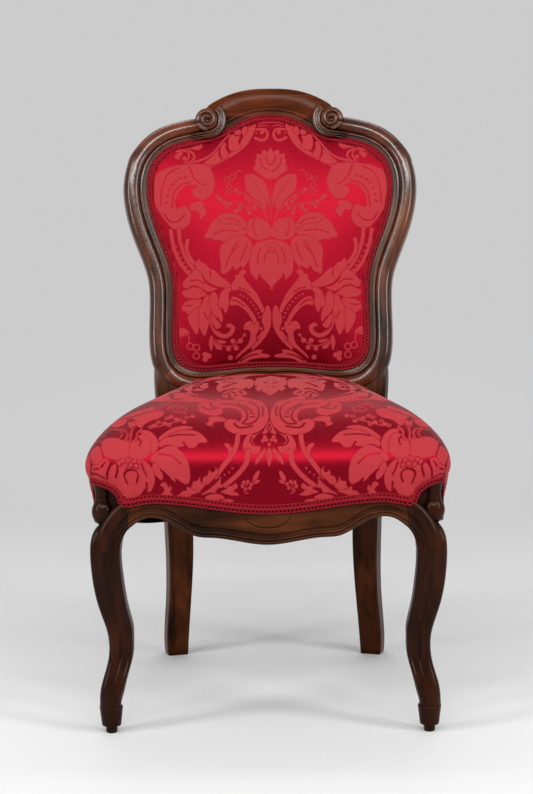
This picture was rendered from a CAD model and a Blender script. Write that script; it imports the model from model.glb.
# %% [markdown]
# # An upholstered balloon-back chair
# This lesson dresses a CAD chair for a photograph. The CAD part gives the frame, and the steps below
# add the cloth, the braid, the polish and the studio. Lengths in the helper functions are millimetres,
# because a chair maker thinks in them. Meshes are scaled to metres when they are made.

# %% Load the frame
import math

import bpy
import numpy as np
from mathutils import Matrix, Vector


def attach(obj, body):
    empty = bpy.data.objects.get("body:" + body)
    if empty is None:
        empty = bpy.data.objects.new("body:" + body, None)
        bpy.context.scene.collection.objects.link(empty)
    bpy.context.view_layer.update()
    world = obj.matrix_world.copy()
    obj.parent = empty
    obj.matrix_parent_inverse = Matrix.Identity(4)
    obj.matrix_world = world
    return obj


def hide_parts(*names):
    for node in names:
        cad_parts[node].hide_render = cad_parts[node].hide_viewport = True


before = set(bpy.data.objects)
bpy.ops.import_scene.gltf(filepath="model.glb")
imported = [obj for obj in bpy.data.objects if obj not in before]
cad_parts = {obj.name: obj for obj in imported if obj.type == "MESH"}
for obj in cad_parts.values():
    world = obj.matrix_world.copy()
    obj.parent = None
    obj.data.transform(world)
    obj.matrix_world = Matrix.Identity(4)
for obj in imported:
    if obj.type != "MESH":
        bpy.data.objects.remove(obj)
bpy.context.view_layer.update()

# %% [markdown]
# ## Camera
# The camera was fitted to the photograph: a long lens, a little above the seat, tilted down.

# %% Place the camera
CAMERA_PLACE = (0.048, -2.943, 0.811)
CAMERA_TILT = 6.74
CAMERA_YAW = 1.03
CAMERA_ROLL = -0.6
CAMERA_LENS = 86.4
CAMERA_SENSOR = 36.0

camera_data = bpy.data.cameras.new("camera")
camera_data.lens = CAMERA_LENS
camera_data.sensor_width = CAMERA_SENSOR
camera = bpy.data.objects.new("camera", camera_data)
bpy.context.scene.collection.objects.link(camera)
aim = Matrix.Rotation(math.radians(CAMERA_YAW), 4, "Z")
aim = aim @ Matrix.Rotation(math.radians(90 - CAMERA_TILT), 4, "X")
aim = aim @ Matrix.Rotation(math.radians(CAMERA_ROLL), 4, "Z")
camera.location = CAMERA_PLACE
camera.rotation_euler = aim.to_euler()
bpy.context.scene.camera = camera
bpy.context.view_layer.update()
print("camera at", camera.location[:])

# %% [markdown]
# ## Helpers for node trees and meshes

# %% Helpers
MM = 0.001


def add_node(tree, kind, **values):
    """Make a node and set its sockets by name; keys that are not sockets set properties."""
    node = tree.nodes.new(kind)
    for key, value in values.items():
        name = key.replace("_", " ")
        if name in node.inputs:
            node.inputs[name].default_value = value
        else:
            setattr(node, key, value)
    return node


def new_material(name):
    """Material with one Principled shader; gives the material, its node tree and the shader."""
    material = bpy.data.materials.new(name)
    material.use_nodes = True
    tree = material.node_tree
    tree.nodes.clear()
    shader = tree.nodes.new("ShaderNodeBsdfPrincipled")
    output = tree.nodes.new("ShaderNodeOutputMaterial")
    tree.links.new(shader.outputs[0], output.inputs["Surface"])
    return material, tree, shader


def colour_ramp(tree, stops):
    """Colour ramp through (position, colour) stops."""
    ramp = tree.nodes.new("ShaderNodeValToRGB")
    elements = ramp.color_ramp.elements
    while len(elements) < len(stops):
        elements.new(0.5)
    for element, (place, colour) in zip(elements, stops):
        element.position = place
        element.color = (*colour, 1.0)
    return ramp


def make_mesh(name, points, faces):
    """Object from points in millimetres and faces."""
    mesh = bpy.data.meshes.new(name)
    mesh.from_pydata((np.asarray(points, float) * MM).tolist(), [], faces)
    mesh.update()
    thing = bpy.data.objects.new(name, mesh)
    bpy.context.scene.collection.objects.link(thing)
    return thing


print("helpers ready, 1 millimetre is", MM, "metres")

# %% [markdown]
# ## Polished wood
# The grain runs along each piece, and some pieces are paler or better polished than others. So each
# kind of piece gets a wood of its own from one recipe.

# %% Wood materials
WOOD_DARK = (0.0075, 0.0020, 0.0009)
WOOD_LIGHT = (0.090, 0.026, 0.007)
GRAIN_ACROSS = 38.0
GRAIN_ALONG = 3.0
WORN_POLISH = 0.06


def wear_polish(tree, coords, shader, polish, axis, worn, sound):
    """Let the polish rise along one axis, from almost none at worn to its full weight at sound."""
    split = tree.nodes.new("ShaderNodeSeparateXYZ")
    tree.links.new(coords.outputs["Object"], split.inputs[0])
    along = add_node(tree, "ShaderNodeMath", operation="ABSOLUTE")
    tree.links.new(split.outputs[axis], along.inputs[0])
    fade = add_node(tree, "ShaderNodeMapRange", From_Min=worn, From_Max=sound)
    fade.inputs["To Min"].default_value = WORN_POLISH
    fade.inputs["To Max"].default_value = polish
    tree.links.new(along.outputs[0], fade.inputs["Value"])
    tree.links.new(fade.outputs[0], shader.inputs["Coat Weight"])


def make_wood(name, along_axis, dark=WOOD_DARK, light=WOOD_LIGHT, polish=0.1, wear=None):
    """Wood with its grain along one axis; wear is the axis and the two distances of wear_polish."""
    material, tree, shader = new_material(name)
    links = tree.links
    coords = tree.nodes.new("ShaderNodeTexCoord")
    scale = [GRAIN_ACROSS] * 3
    scale[along_axis] = GRAIN_ALONG
    mapping = add_node(tree, "ShaderNodeMapping", Scale=scale)
    links.new(coords.outputs["Object"], mapping.inputs["Vector"])
    grain = add_node(tree, "ShaderNodeTexNoise", Scale=1.0, Detail=6.0, Roughness=0.62, Distortion=1.4)
    links.new(mapping.outputs[0], grain.inputs["Vector"])
    blotch = add_node(tree, "ShaderNodeTexNoise", Scale=9.0, Detail=3.0, Roughness=0.6)
    links.new(coords.outputs["Object"], blotch.inputs["Vector"])
    mixed = add_node(tree, "ShaderNodeMix", data_type="FLOAT", Factor=0.42)
    links.new(grain.outputs["Fac"], mixed.inputs["A"])
    links.new(blotch.outputs["Fac"], mixed.inputs["B"])
    ramp = colour_ramp(tree, [(0.36, dark), (0.50, tuple(0.45 * c for c in light)), (0.66, light)])
    links.new(mixed.outputs["Result"], ramp.inputs[0])
    hollow = add_node(tree, "ShaderNodeAmbientOcclusion", Distance=0.012, samples=6)
    links.new(ramp.outputs[0], hollow.inputs["Color"])
    links.new(hollow.outputs["Color"], shader.inputs["Base Color"])
    shader.inputs["Roughness"].default_value = 0.3
    shader.inputs["Specular IOR Level"].default_value = 0.05
    shader.inputs["Specular Tint"].default_value = (1.0, 0.78, 0.6, 1.0)
    shader.inputs["Coat Weight"].default_value = polish
    if wear:
        wear_polish(tree, coords, shader, polish, *wear)
    shader.inputs["Coat Roughness"].default_value = 0.18
    bump = add_node(tree, "ShaderNodeBump", Strength=0.04, Distance=0.0006)
    links.new(grain.outputs["Fac"], bump.inputs["Height"])
    links.new(bump.outputs[0], shader.inputs["Normal"])
    return material


wood_leg = make_wood("wood_leg", 2, light=(0.034, 0.0078, 0.0027))
wood_stile = make_wood("wood_stile", 2, light=(0.110, 0.027, 0.0075), polish=0.75, wear=("Z", 0.45, 0.52))
wood_scroll = make_wood("wood_scroll", 0, light=(0.105, 0.027, 0.008), polish=0.45)
wood_crest = make_wood("wood_crest", 0, light=(0.135, 0.028, 0.008), polish=0.75, wear=("X", 0.115, 0.145))
wood_across = make_wood("wood_across", 0, light=(0.082, 0.021, 0.006))
wood_deep = make_wood("wood_deep", 1)
wood_dark = make_wood("wood_dark", 2, (0.006, 0.003, 0.002), (0.040, 0.018, 0.010))
print("wood materials made")

# %% [markdown]
# ## Studio
# A pale floor bends up into a plain wall. Away from the chair both fade into one pale tone, which the
# world shows as well, so no line is left behind the chair. From behind, the wall is clear.

# %% Floor and wall
BACKGROUND = (0.60, 0.60, 0.60, 1.0)
FADE_START = 1.1
FADE_END = 2.7
SHEET_HALF_WIDTH = 6000
SHEET_FRONT_Y = -5000
BEND_START_Y = 1600
BEND_RADIUS = 1500
BEND_STEPS = 12
WALL_TOP_Z = 6000


def make_backdrop():
    """Floor that bends up into a wall, as one smooth sheet."""
    profile = [(SHEET_FRONT_Y, 0), (BEND_START_Y, 0)]
    for step in range(1, BEND_STEPS + 1):
        angle = math.radians(90 * step / BEND_STEPS)
        run = BEND_START_Y + BEND_RADIUS * math.sin(angle)
        profile.append((run, BEND_RADIUS * (1 - math.cos(angle))))
    profile.append((BEND_START_Y + BEND_RADIUS, WALL_TOP_Z))
    points = [(x, y, z) for y, z in profile for x in (-SHEET_HALF_WIDTH, SHEET_HALF_WIDTH)]
    faces = [(2 * i, 2 * i + 1, 2 * i + 3, 2 * i + 2) for i in range(len(profile) - 1)]
    sheet = make_mesh("backdrop", points, faces)
    sheet.data.shade_smooth()
    return sheet


backdrop = make_backdrop()
print("backdrop", len(backdrop.data.polygons), "faces")


# %% Paper of the floor and wall
def background_rays(tree):
    """Socket that is 1 for camera, glossy and transmission rays, which see the pale background."""
    rays = tree.nodes.new("ShaderNodeLightPath")
    found = rays.outputs["Is Camera Ray"]
    for kind in ("Is Glossy Ray", "Is Transmission Ray"):
        either = add_node(tree, "ShaderNodeMath", operation="MAXIMUM")
        tree.links.new(found, either.inputs[0])
        tree.links.new(rays.outputs[kind], either.inputs[1])
        found = either.outputs[0]
    return found


def fade_backdrop(tree, shader):
    """Let the far floor and wall end in one pale tone, and let a camera behind the wall look through it."""
    coords = tree.nodes.new("ShaderNodeTexCoord")
    away = add_node(tree, "ShaderNodeVectorMath", operation="LENGTH")
    fade = add_node(tree, "ShaderNodeMapRange", From_Min=FADE_START, From_Max=FADE_END)
    seen = add_node(tree, "ShaderNodeMath", operation="MULTIPLY")
    pale = add_node(tree, "ShaderNodeEmission", Color=BACKGROUND)
    clear = tree.nodes.new("ShaderNodeBsdfTransparent")
    sides = tree.nodes.new("ShaderNodeNewGeometry")
    tone = tree.nodes.new("ShaderNodeMixShader")
    front = tree.nodes.new("ShaderNodeMixShader")
    links = [
        (coords.outputs["Object"], away.inputs[0]), (away.outputs["Value"], fade.inputs["Value"]),
        (fade.outputs[0], seen.inputs[0]), (background_rays(tree), seen.inputs[1]),
        (seen.outputs[0], tone.inputs[0]), (shader.outputs[0], tone.inputs[1]),
        (pale.outputs[0], tone.inputs[2]), (sides.outputs["Backfacing"], front.inputs[0]),
        (tone.outputs[0], front.inputs[1]), (clear.outputs[0], front.inputs[2]),
        (front.outputs[0], tree.nodes["Material Output"].inputs["Surface"]),
    ]
    for source, target in links:
        tree.links.new(source, target)


def make_paper():
    """Matte paper with a faint change of tone."""
    material, tree, shader = new_material("paper")
    shader.inputs["Roughness"].default_value = 0.9
    noise = add_node(tree, "ShaderNodeTexNoise", Scale=2.0, Detail=2.0)
    ramp = colour_ramp(tree, [(0.3, (0.66, 0.66, 0.66)), (0.7, (0.68, 0.68, 0.68))])
    tree.links.new(noise.outputs["Fac"], ramp.inputs[0])
    tree.links.new(ramp.outputs[0], shader.inputs["Base Color"])
    fade_backdrop(tree, shader)
    return material


backdrop.data.materials.append(make_paper())
print("paper fades from", FADE_START, "to", FADE_END, "metres away")

# %% [markdown]
# ## Lights
# A tall soft light and a small high one stand at each side. A strip hangs in front, one light shines on
# the chair from behind, and one on the wall. Each is given its place and target in metres, its size
# and its power in watts.

# %% Lights and world
LIGHTS = [
    ("left_light", (-2.0, -1.3, 1.5), (0, 0, 0.6), (0.6, 1.9), 34),
    ("right_light", (2.0, -1.3, 1.5), (0, 0, 0.6), (0.6, 1.9), 34),
    ("left_high_light", (-1.5, -2.2, 2.3), (0, 0, 0.8), (0.5, 0.5), 16),
    ("right_high_light", (1.5, -2.2, 2.3), (0, 0, 0.8), (0.5, 0.5), 16),
    ("front_light", (0, -2.6, 2.15), (0, 0.2, 0.6), (2.2, 0.34), 60),
    ("back_light", (0, 2.4, 3.2), (0, 0, 0.7), (2.2, 0.5), 18),
    ("wall_light", (0, 1.0, 3.4), (0, 2.6, 0.8), (4.0, 0.8), 39),
]
WORLD_COLOUR = (0.95, 0.97, 1.0, 1.0)
WORLD_STRENGTH = 0.07


def soft_light(name, place, target, size, power):
    """Rectangular light at a place, turned towards a target."""
    data = bpy.data.lights.new(name, "AREA")
    data.shape = "RECTANGLE"
    data.size, data.size_y = size
    data.energy = power
    lamp = bpy.data.objects.new(name, data)
    bpy.context.scene.collection.objects.link(lamp)
    lamp.location = place
    towards = Vector(target) - Vector(place)
    lamp.rotation_euler = towards.to_track_quat("-Z", "Y").to_euler()


def make_world():
    """Faint light from all round, seen as the pale tone of the background."""
    world = bpy.data.worlds.new("studio")
    world.use_nodes = True
    tree = world.node_tree
    faint = tree.nodes["Background"]
    faint.inputs["Color"].default_value = WORLD_COLOUR
    faint.inputs["Strength"].default_value = WORLD_STRENGTH
    pale = add_node(tree, "ShaderNodeBackground", Color=BACKGROUND)
    mix = tree.nodes.new("ShaderNodeMixShader")
    tree.links.new(background_rays(tree), mix.inputs[0])
    tree.links.new(faint.outputs[0], mix.inputs[1])
    tree.links.new(pale.outputs[0], mix.inputs[2])
    tree.links.new(mix.outputs[0], tree.nodes["World Output"].inputs["Surface"])
    return world


for light in LIGHTS:
    soft_light(*light)
bpy.context.scene.world = make_world()
bpy.context.scene.view_settings.view_transform = "Standard"
print("studio lit by", len(LIGHTS), "lights")

# %% [markdown]
# ## Smooth curves
# Three helpers draw the curves of the chair. The first passes a smooth line through a few points with
# set directions at both ends, as the CAD part does. The second reads between the rows of a table, and
# the third is a soft step.

# %% Curve helpers
def clamped_curve(points, start, end, count):
    """Points on a smooth line through the given ones, with unit directions at both ends."""
    p = np.asarray(points, float)
    gaps = np.linalg.norm(np.diff(p, axis=0), axis=1)
    system = np.eye(len(p))
    right = np.zeros_like(p)
    right[0] = start
    right[-1] = end
    for i in range(1, len(p) - 1):
        before, after = gaps[i - 1], gaps[i]
        system[i, i - 1 : i + 2] = after, 2 * (before + after), before
        right[i] = 3 * (after * (p[i] - p[i - 1]) / before + before * (p[i + 1] - p[i]) / after)
    slopes = np.linalg.solve(system, right)
    knots = np.concatenate([[0], np.cumsum(gaps)])
    place = np.linspace(0, knots[-1], count)
    span = np.clip(np.searchsorted(knots, place, side="right") - 1, 0, len(gaps) - 1)
    gap = gaps[span][:, None]
    t = ((place - knots[span]) / gaps[span])[:, None]
    first = p[span] * (1 + 2 * t) * (1 - t) ** 2 + p[span + 1] * t**2 * (3 - 2 * t)
    return first + gap * (slopes[span] * t * (1 - t) ** 2 - slopes[span + 1] * t**2 * (1 - t))


def smooth_rows(rows, places):
    """Rows of a table read at fractional row numbers, smoothly."""
    rows = np.asarray(rows, float)
    padded_rows = np.concatenate([[2 * rows[0] - rows[1]], rows, [2 * rows[-1] - rows[-2]]])
    span = np.clip(places.astype(int), 0, len(rows) - 2)
    t = (places - span)[:, None]
    a, b, c, d = (padded_rows[span + k] for k in range(4))
    return b + 0.5 * t * (c - a + t * (2 * a - 5 * b + 4 * c - d + t * (3 * (b - c) + d - a)))


def ease(value):
    """Soft step from 0 to 1."""
    value = np.clip(value, 0, 1)
    return value * value * (3 - 2 * value)


print("half way up a soft step is", ease(0.5))

# %% [markdown]
# ## Shape of the seat
# The seat is drawn as plans at rising heights. Below the swell each plan stands further outside the
# rails. Above it the plan shrinks towards the middle as a rounded dome, its rear edge is drawn in and
# its corners open out. The braid's line gives the lower edge.

# %% Plan of the seat
KNEE_HALF_WIDTH = 255.0
LEG_FRONT = 262.0
CORNER_SHIFT = LEG_FRONT - KNEE_HALF_WIDTH
REBATE = 3.0
RAIL_BOW = 12.0
SEAM_Y = -207.0
SEAT_REAR_Y = 180.0
REAR_HALF_WIDTH = 187.0
SEAT_MIDDLE_Y = -45.0
REAR_LEG_FRONT_Y = 144.0
REAR_LEG_INSIDE_X = 137.0
GIMP_WIDTH = 11.5
GIMP_LINE = [(0.0, 329.0), (163.0, 344.0), (207.0, 338.0)]
GIMP_EAR_Z = 371.0
SWELL_Z = 394.0
CROWN_Z = 500.0
EDGE_OFFSET = 2.3
SWELL_OFFSET = 10.5
CROWN_OFFSET = 4.0
REAR_PULL = 28.0
OUTLINE_STEPS = (150, 30, 130, 96)
REAR_CORNER_SHARE = 0.7
SIDE_EASE = 60.0
EDGE_CORNER = 24.0
SWELL_CORNER = 34.0
CROWN_CORNER = 52.0
COVER_LIFT = 2.0
ROLL_HEIGHT = 60.0
DOME_RISE = 2 / 2.08
DOME_SHRINK = 2 / 2.4
SMALLEST_SHARE = 0.004
SKIRT_LEVELS = 30
DOME_LEVELS = 128


def seat_plan(offset, shrink, pull, corner):
    """Closed plan of the seat, from the front middle round by the right, as (x, y) points."""
    out = KNEE_HALF_WIDTH - REBATE + offset
    front = -(LEG_FRONT - REBATE + offset)
    rear = SEAT_REAR_Y + offset - pull
    rear_x = REAR_HALF_WIDTH - REBATE + offset
    rear_corner = REAR_CORNER_SHARE * corner
    front_steps, corner_steps, side_steps, rear_steps = OUTLINE_STEPS
    t = np.linspace(0, 1, front_steps, endpoint=False)
    parts = [np.c_[t * (out - corner), front - RAIL_BOW * (1 - t**2) ** 2]]
    angle = np.linspace(0, np.pi / 2, corner_steps, endpoint=False)
    parts.append(np.c_[out - corner + corner * np.sin(angle), front + corner * (1 - np.cos(angle))])
    y = np.linspace(front + corner, rear - rear_corner, side_steps, endpoint=False)
    lean = np.clip((y - SEAM_Y) / (rear - SEAM_Y), 0, 1)
    parts.append(np.c_[out + (rear_x - out) * lean, y])
    start_x = parts[-1][-1, 0]
    middle_x = start_x - rear_corner
    round_x = middle_x + rear_corner * np.cos(angle)
    parts.append(np.c_[round_x, rear - rear_corner * (1 - np.sin(angle))])
    t = np.linspace(0, 1, rear_steps)
    parts.append(np.c_[middle_x * (1 - t), np.full(rear_steps, rear)])
    half = np.concatenate(parts)
    other = half[1:-1][::-1] * (-1, 1)
    plan = np.concatenate([half, other])
    return np.c_[plan[:, 0] * shrink, SEAT_MIDDLE_Y + (plan[:, 1] - SEAT_MIDDLE_Y) * shrink]


print("seat plan", len(seat_plan(0.0, 1.0, 0.0, EDGE_CORNER)), "points")


# %% Lower edge and rear folds of the seat
def braid_low_z(x, y):
    """Height of the braid's lower edge at a point of the seat's plan."""
    t_front = np.abs(x)
    t_side = -y - CORNER_SHIFT
    t = np.where(t_side > t_front, t_front, t_side)
    arch_x, climb_x = (place for place, height in GIMP_LINE[1:])
    centre_z, arch_z, corner_z = (height for place, height in GIMP_LINE)
    front = np.where(
        t < arch_x,
        centre_z + (arch_z - centre_z) * ease(t / arch_x),
        arch_z + (corner_z - arch_z) * ease((t - arch_x) / (climb_x - arch_x)),
    )
    side = arch_z + (corner_z - arch_z) * ease((t - climb_x + SIDE_EASE) / SIDE_EASE)
    height = np.where(t_side > t_front, front, side)
    swing = np.clip((t - climb_x) / (KNEE_HALF_WIDTH - climb_x), 0, 1)
    ear = corner_z + (GIMP_EAR_Z - corner_z) * np.sqrt(1 - (1 - swing) ** 2)
    return np.where(t > climb_x, ear, height)


def clear_rear_legs(points):
    """Fold the cloth in round the rear legs."""
    x, y = points[..., 0], points[..., 1]
    over_x = np.abs(x) - REAR_LEG_INSIDE_X
    over_y = y - REAR_LEG_FRONT_Y
    inside = (over_x > 0) & (over_y > 0)
    fold_x = inside & (over_x < over_y)
    fold_y = inside & ~fold_x
    points[..., 0] = np.where(fold_x, np.sign(x) * REAR_LEG_INSIDE_X, x)
    points[..., 1] = np.where(fold_y, REAR_LEG_FRONT_Y, y)
    return points


print("lower edge at the front middle", float(braid_low_z(0.0, -LEG_FRONT)), "mm")


# %% Surface of the seat
def seat_grid():
    """Grid of points on the seat, by level from the lower edge to the crown and round the plan."""
    levels = []
    for share in np.linspace(0, 1, SKIRT_LEVELS, endpoint=False):
        offset = EDGE_OFFSET + (SWELL_OFFSET - EDGE_OFFSET) * math.sin(0.5 * math.pi * share)
        plan = seat_plan(offset, 1.0, 0.0, EDGE_CORNER + (SWELL_CORNER - EDGE_CORNER) * share)
        low = braid_low_z(plan[:, 0], plan[:, 1]) + COVER_LIFT
        levels.append(np.c_[plan, low + (SWELL_Z - low) * share])
    for angle in np.linspace(0, 0.5 * math.pi, DOME_LEVELS):
        z = SWELL_Z + (CROWN_Z - SWELL_Z) * math.sin(angle) ** DOME_RISE
        shrink = max(math.cos(angle), 1e-4) ** DOME_SHRINK
        rolled = ease((z - SWELL_Z) / ROLL_HEIGHT)
        offset = SWELL_OFFSET + (CROWN_OFFSET - SWELL_OFFSET) * rolled
        corner = SWELL_CORNER + (CROWN_CORNER - SWELL_CORNER) * rolled
        plan = seat_plan(offset, max(shrink, SMALLEST_SHARE), REAR_PULL * rolled, corner)
        levels.append(np.c_[plan, np.full(len(plan), z)])
    return clear_rear_legs(np.array(levels))


seat = seat_grid()
print("seat grid", seat.shape, "top", seat[..., 2].max())

# %% [markdown]
# ## Shape of the back pad
# The pad follows the reclined, hollowed surface of the back. It swells towards the middle and its edge
# runs along the inside of the moulded frame.

# %% Edge of the back pad
BACK_RECLINE = 10.6
BACK_HOLLOW_RADIUS = 950.0
RECLINE_SLOPE = math.tan(math.radians(BACK_RECLINE))
SHOULDER = 201.5
WAIST = 160.0
TOP_Z = 904.8
BASE_Z = 487.0
SIGHT_POINTS = [
    (0, TOP_Z), (46.3, TOP_Z - 10.5), (84.6, TOP_Z - 30), (127, TOP_Z - 40), (163.2, TOP_Z - 50.5),
    (187.4, 834.7), (199.9, 805), (SHOULDER, 786), (183.2, 706), (163.3, 646.5), (WAIST, 600),
    (WAIST + 1, 540.1), (WAIST - 2.5, BASE_Z + 27), (WAIST - 13, BASE_Z + 10.5), (WAIST - 31, BASE_Z + 2),
    (WAIST - 56, BASE_Z), (60, BASE_Z + 3.6), (0, BASE_Z + 6),
]
BACK_FOOT_Y = 163.0
BACK_FOOT_Z = 430.0
COVER_DEPTH = 6.2
PAD_CROWN = 27.0
PAD_FULLNESS = 0.78
PILLOW_PASSES = 1500
LOW_MARGIN = 6
SIGHT_COUNT = 500
SIGHT_STRIDE = 3
sight = clamped_curve(SIGHT_POINTS, (1, 0), (-1, 0), SIGHT_COUNT)
sight = np.concatenate([sight, sight[1:-1][::-1] * (-1, 1)])


def back_y(u, z):
    """How far back the back's middle surface lies at a place across and up."""
    hollow = BACK_HOLLOW_RADIUS - np.sqrt(BACK_HOLLOW_RADIUS**2 - u**2)
    return BACK_FOOT_Y + (z - BACK_FOOT_Z) * RECLINE_SLOPE - hollow


print("edge of the back pad", len(sight), "points")


# %% Surface of the back pad
def line_distance(points, line, closed=False):
    """Distance from points to a run of straight pieces."""
    best = np.full(len(points), np.inf)
    ends = np.roll(line, -1, axis=0) if closed else line[1:]
    for start, end in zip(line, ends):
        run = end - start
        t = np.clip(((points - start) @ run) / max(run @ run, 1e-9), 0, 1)
        gap = points - start - t[:, None] * run
        best = np.minimum(best, np.einsum("ij,ij->i", gap, gap))
    return np.sqrt(best)


def inside_outline(points, line):
    """Which points lie inside a closed line, by counting the crossings to their right."""
    x, y = points[:, 0], points[:, 1]
    inside = np.zeros(len(points), bool)
    for (x0, y0), (x1, y1) in zip(line, np.roll(line, -1, axis=0)):
        crosses = (y0 > y) != (y1 > y)
        if y0 != y1:
            inside ^= crosses & (x < x0 + (y - y0) * (x1 - x0) / (y1 - y0))
    return inside


def back_grid(step, inset):
    """Points of the pad on a square grid, which of them lie inside its edge, and how far."""
    u = np.arange(-math.ceil(SHOULDER / step), math.ceil(SHOULDER / step) + 1) * step
    z = np.arange(BASE_Z - LOW_MARGIN, TOP_Z + step, step)
    grid_u, grid_z = np.meshgrid(u, z)
    flat = np.c_[grid_u.ravel(), grid_z.ravel()]
    gap = line_distance(flat, sight[::SIGHT_STRIDE], closed=True)
    gap = np.where(inside_outline(flat, sight), gap, -gap).reshape(grid_u.shape)
    return grid_u, grid_z, gap, gap > inset


def pillow(gap):
    """Share of the full swell at each grid point, as a stretched skin that is blown up evenly."""
    inside = gap > 0.5 * GIMP_WIDTH
    skin = np.zeros(gap.shape)
    for _ in range(PILLOW_PASSES):
        around = np.roll(skin, 1, 0) + np.roll(skin, -1, 0)
        around = around + np.roll(skin, 1, 1) + np.roll(skin, -1, 1)
        skin = np.where(inside, around / 4 + 1.0, 0.0)
    return (skin / skin.max()) ** PAD_FULLNESS


def upsample(coarse, step, shape):
    """Smoothly read a coarse grid at every point of a fine one."""
    rows = smooth_rows(coarse, np.minimum(np.arange(shape[0]) / step, coarse.shape[0] - 1))
    columns = np.minimum(np.arange(shape[1]) / step, coarse.shape[1] - 1)
    return smooth_rows(rows.T, columns).T


PAD_STEP = 1.28
PAD_INSET = 1.0
PILLOW_STEP = 5
LEAN = math.cos(math.radians(BACK_RECLINE))
back_u, back_z, back_gap, back_keep = back_grid(PAD_STEP, PAD_INSET)
coarse_swell = pillow(back_gap[::PILLOW_STEP, ::PILLOW_STEP])
swell = PAD_CROWN * upsample(coarse_swell, PILLOW_STEP, back_u.shape)
back_front = back_y(back_u, back_z) + COVER_DEPTH / LEAN - swell
print("back grid", back_u.shape, int(back_keep.sum()), "points kept")

# %% [markdown]
# ## Settling the cloth
# Each cushion is blown up a little by a cloth simulation on a coarse copy, with its tacked edge held.
# The small movement is then spread over the fine grid.

# %% Cloth simulation
CLOTH_FRAMES = 20
CLOTH_CAP = 3.0
CLOTH_PRESSURE = 1.5
CLOTH_TENSION = 40
CLOTH_BENDING = 4
SEAT_COARSE = 4
CROWN_LEVELS_LEFT = 8
HELD_LEVELS = 2
REAR_HOLD = 4
BACK_COARSE = 5
BACK_CLOTH_EDGE = 2
BACK_HELD_EDGE = 14


def settle(points, faces, held):
    """Movement of each point of a coarse cushion under pressure, in millimetres, capped."""
    cushion = make_mesh("settling", points, faces)
    pins = cushion.vertex_groups.new(name="tacks")
    pins.add([int(i) for i in np.flatnonzero(held)], 1.0, "REPLACE")
    cloth = cushion.modifiers.new("cloth", "CLOTH")
    cloth.settings.vertex_group_mass = "tacks"
    cloth.settings.use_pressure = True
    cloth.settings.uniform_pressure_force = CLOTH_PRESSURE
    cloth.settings.tension_stiffness = CLOTH_TENSION
    cloth.settings.bending_stiffness = CLOTH_BENDING
    cloth.settings.effector_weights.gravity = 0
    scene = bpy.context.scene
    for number in range(1, CLOTH_FRAMES + 1):
        scene.frame_set(number)
    shaped = cushion.evaluated_get(bpy.context.evaluated_depsgraph_get())
    moved = np.empty(len(points) * 3)
    shaped.data.vertices.foreach_get("co", moved)
    scene.frame_set(1)
    bpy.data.objects.remove(cushion)
    shift = moved.reshape(-1, 3) / MM - points
    length = np.linalg.norm(shift, axis=1)[:, None]
    return shift * np.minimum(1, CLOTH_CAP / np.maximum(length, 1e-6))


def ring_faces(levels, around):
    """Quads between neighbouring levels of a closed ring grid."""
    faces = []
    for level in range(levels - 1):
        for i in range(around):
            j = (i + 1) % around
            lower, upper = level * around, (level + 1) * around
            faces.append((lower + i, lower + j, upper + j, upper + i))
    return faces


print("cloth runs for", CLOTH_FRAMES, "frames")


# %% Settle the seat and the back
def settle_seat(grid):
    """Movement of every point of the seat, from a coarse copy closed by one point at the crown."""
    coarse = grid[:-CROWN_LEVELS_LEFT:SEAT_COARSE, ::SEAT_COARSE]
    levels, around = coarse.shape[:2]
    points = np.concatenate([coarse.reshape(-1, 3), grid[-1, :1]])
    faces = ring_faces(levels, around)
    top = len(points) - 1
    last = (levels - 1) * around
    faces += [(last + i, last + (i + 1) % around, top) for i in range(around)]
    held = np.zeros(len(points), bool)
    held[: HELD_LEVELS * around] = True
    held[:top] |= points[:top, 1] > REAR_LEG_FRONT_Y - REAR_HOLD
    shift = settle(points, faces, held)
    field = shift[:top].reshape(levels, around, 3)
    field = np.concatenate([field, np.broadcast_to(shift[top], (1, around, 3))])
    field = np.concatenate([field, field[:, :1]], axis=1)
    level_place = np.minimum(np.arange(grid.shape[0]) / SEAT_COARSE, levels)
    round_place = np.arange(grid.shape[1]) / SEAT_COARSE
    return read_grid(field, level_place, round_place)


def read_grid(field, rows, columns):
    """Values of a coarse grid at fractional rows and columns."""
    r = np.clip(rows.astype(int), 0, field.shape[0] - 2)
    c = np.clip(columns.astype(int), 0, field.shape[1] - 2)
    a = (rows - r)[:, None, None]
    b = (columns - c)[None, :, None]
    low = field[r][:, c] * (1 - b) + field[r][:, c + 1] * b
    high = field[r + 1][:, c] * (1 - b) + field[r + 1][:, c + 1] * b
    return low * (1 - a) + high * a


def settle_back(points, gap):
    """Movement of every point of the back pad, from a coarse copy."""
    coarse = points[::BACK_COARSE, ::BACK_COARSE]
    edge = gap[::BACK_COARSE, ::BACK_COARSE].ravel()
    inside = edge > BACK_CLOTH_EDGE
    rows, columns = coarse.shape[:2]
    faces = []
    for r in range(rows - 1):
        for c in range(columns - 1):
            lower, upper = r * columns + c, (r + 1) * columns + c
            quad = (lower, lower + 1, upper + 1, upper)
            if all(inside[i] for i in quad):
                faces.append(quad)
    shift = settle(coarse.reshape(-1, 3), faces, edge < BACK_HELD_EDGE)
    field = shift.reshape(rows, columns, 3)
    row_place = np.arange(points.shape[0]) / BACK_COARSE
    column_place = np.arange(points.shape[1]) / BACK_COARSE
    return read_grid(field, np.minimum(row_place, rows - 1), np.minimum(column_place, columns - 1))


back = np.stack([back_u, back_front, back_z], axis=-1)
# The damask is drawn on the cushions as they are before they settle.
seat_drawn = seat
back_drawn = back
seat_shift = settle_seat(seat)
back_shift = settle_back(back, back_gap)
seat = seat + seat_shift
back = back + back_shift
for name, shift in (("seat", seat_shift), ("back", back_shift)):
    print(name, "moved by up to", np.abs(shift).max().round(2), "mm")

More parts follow.
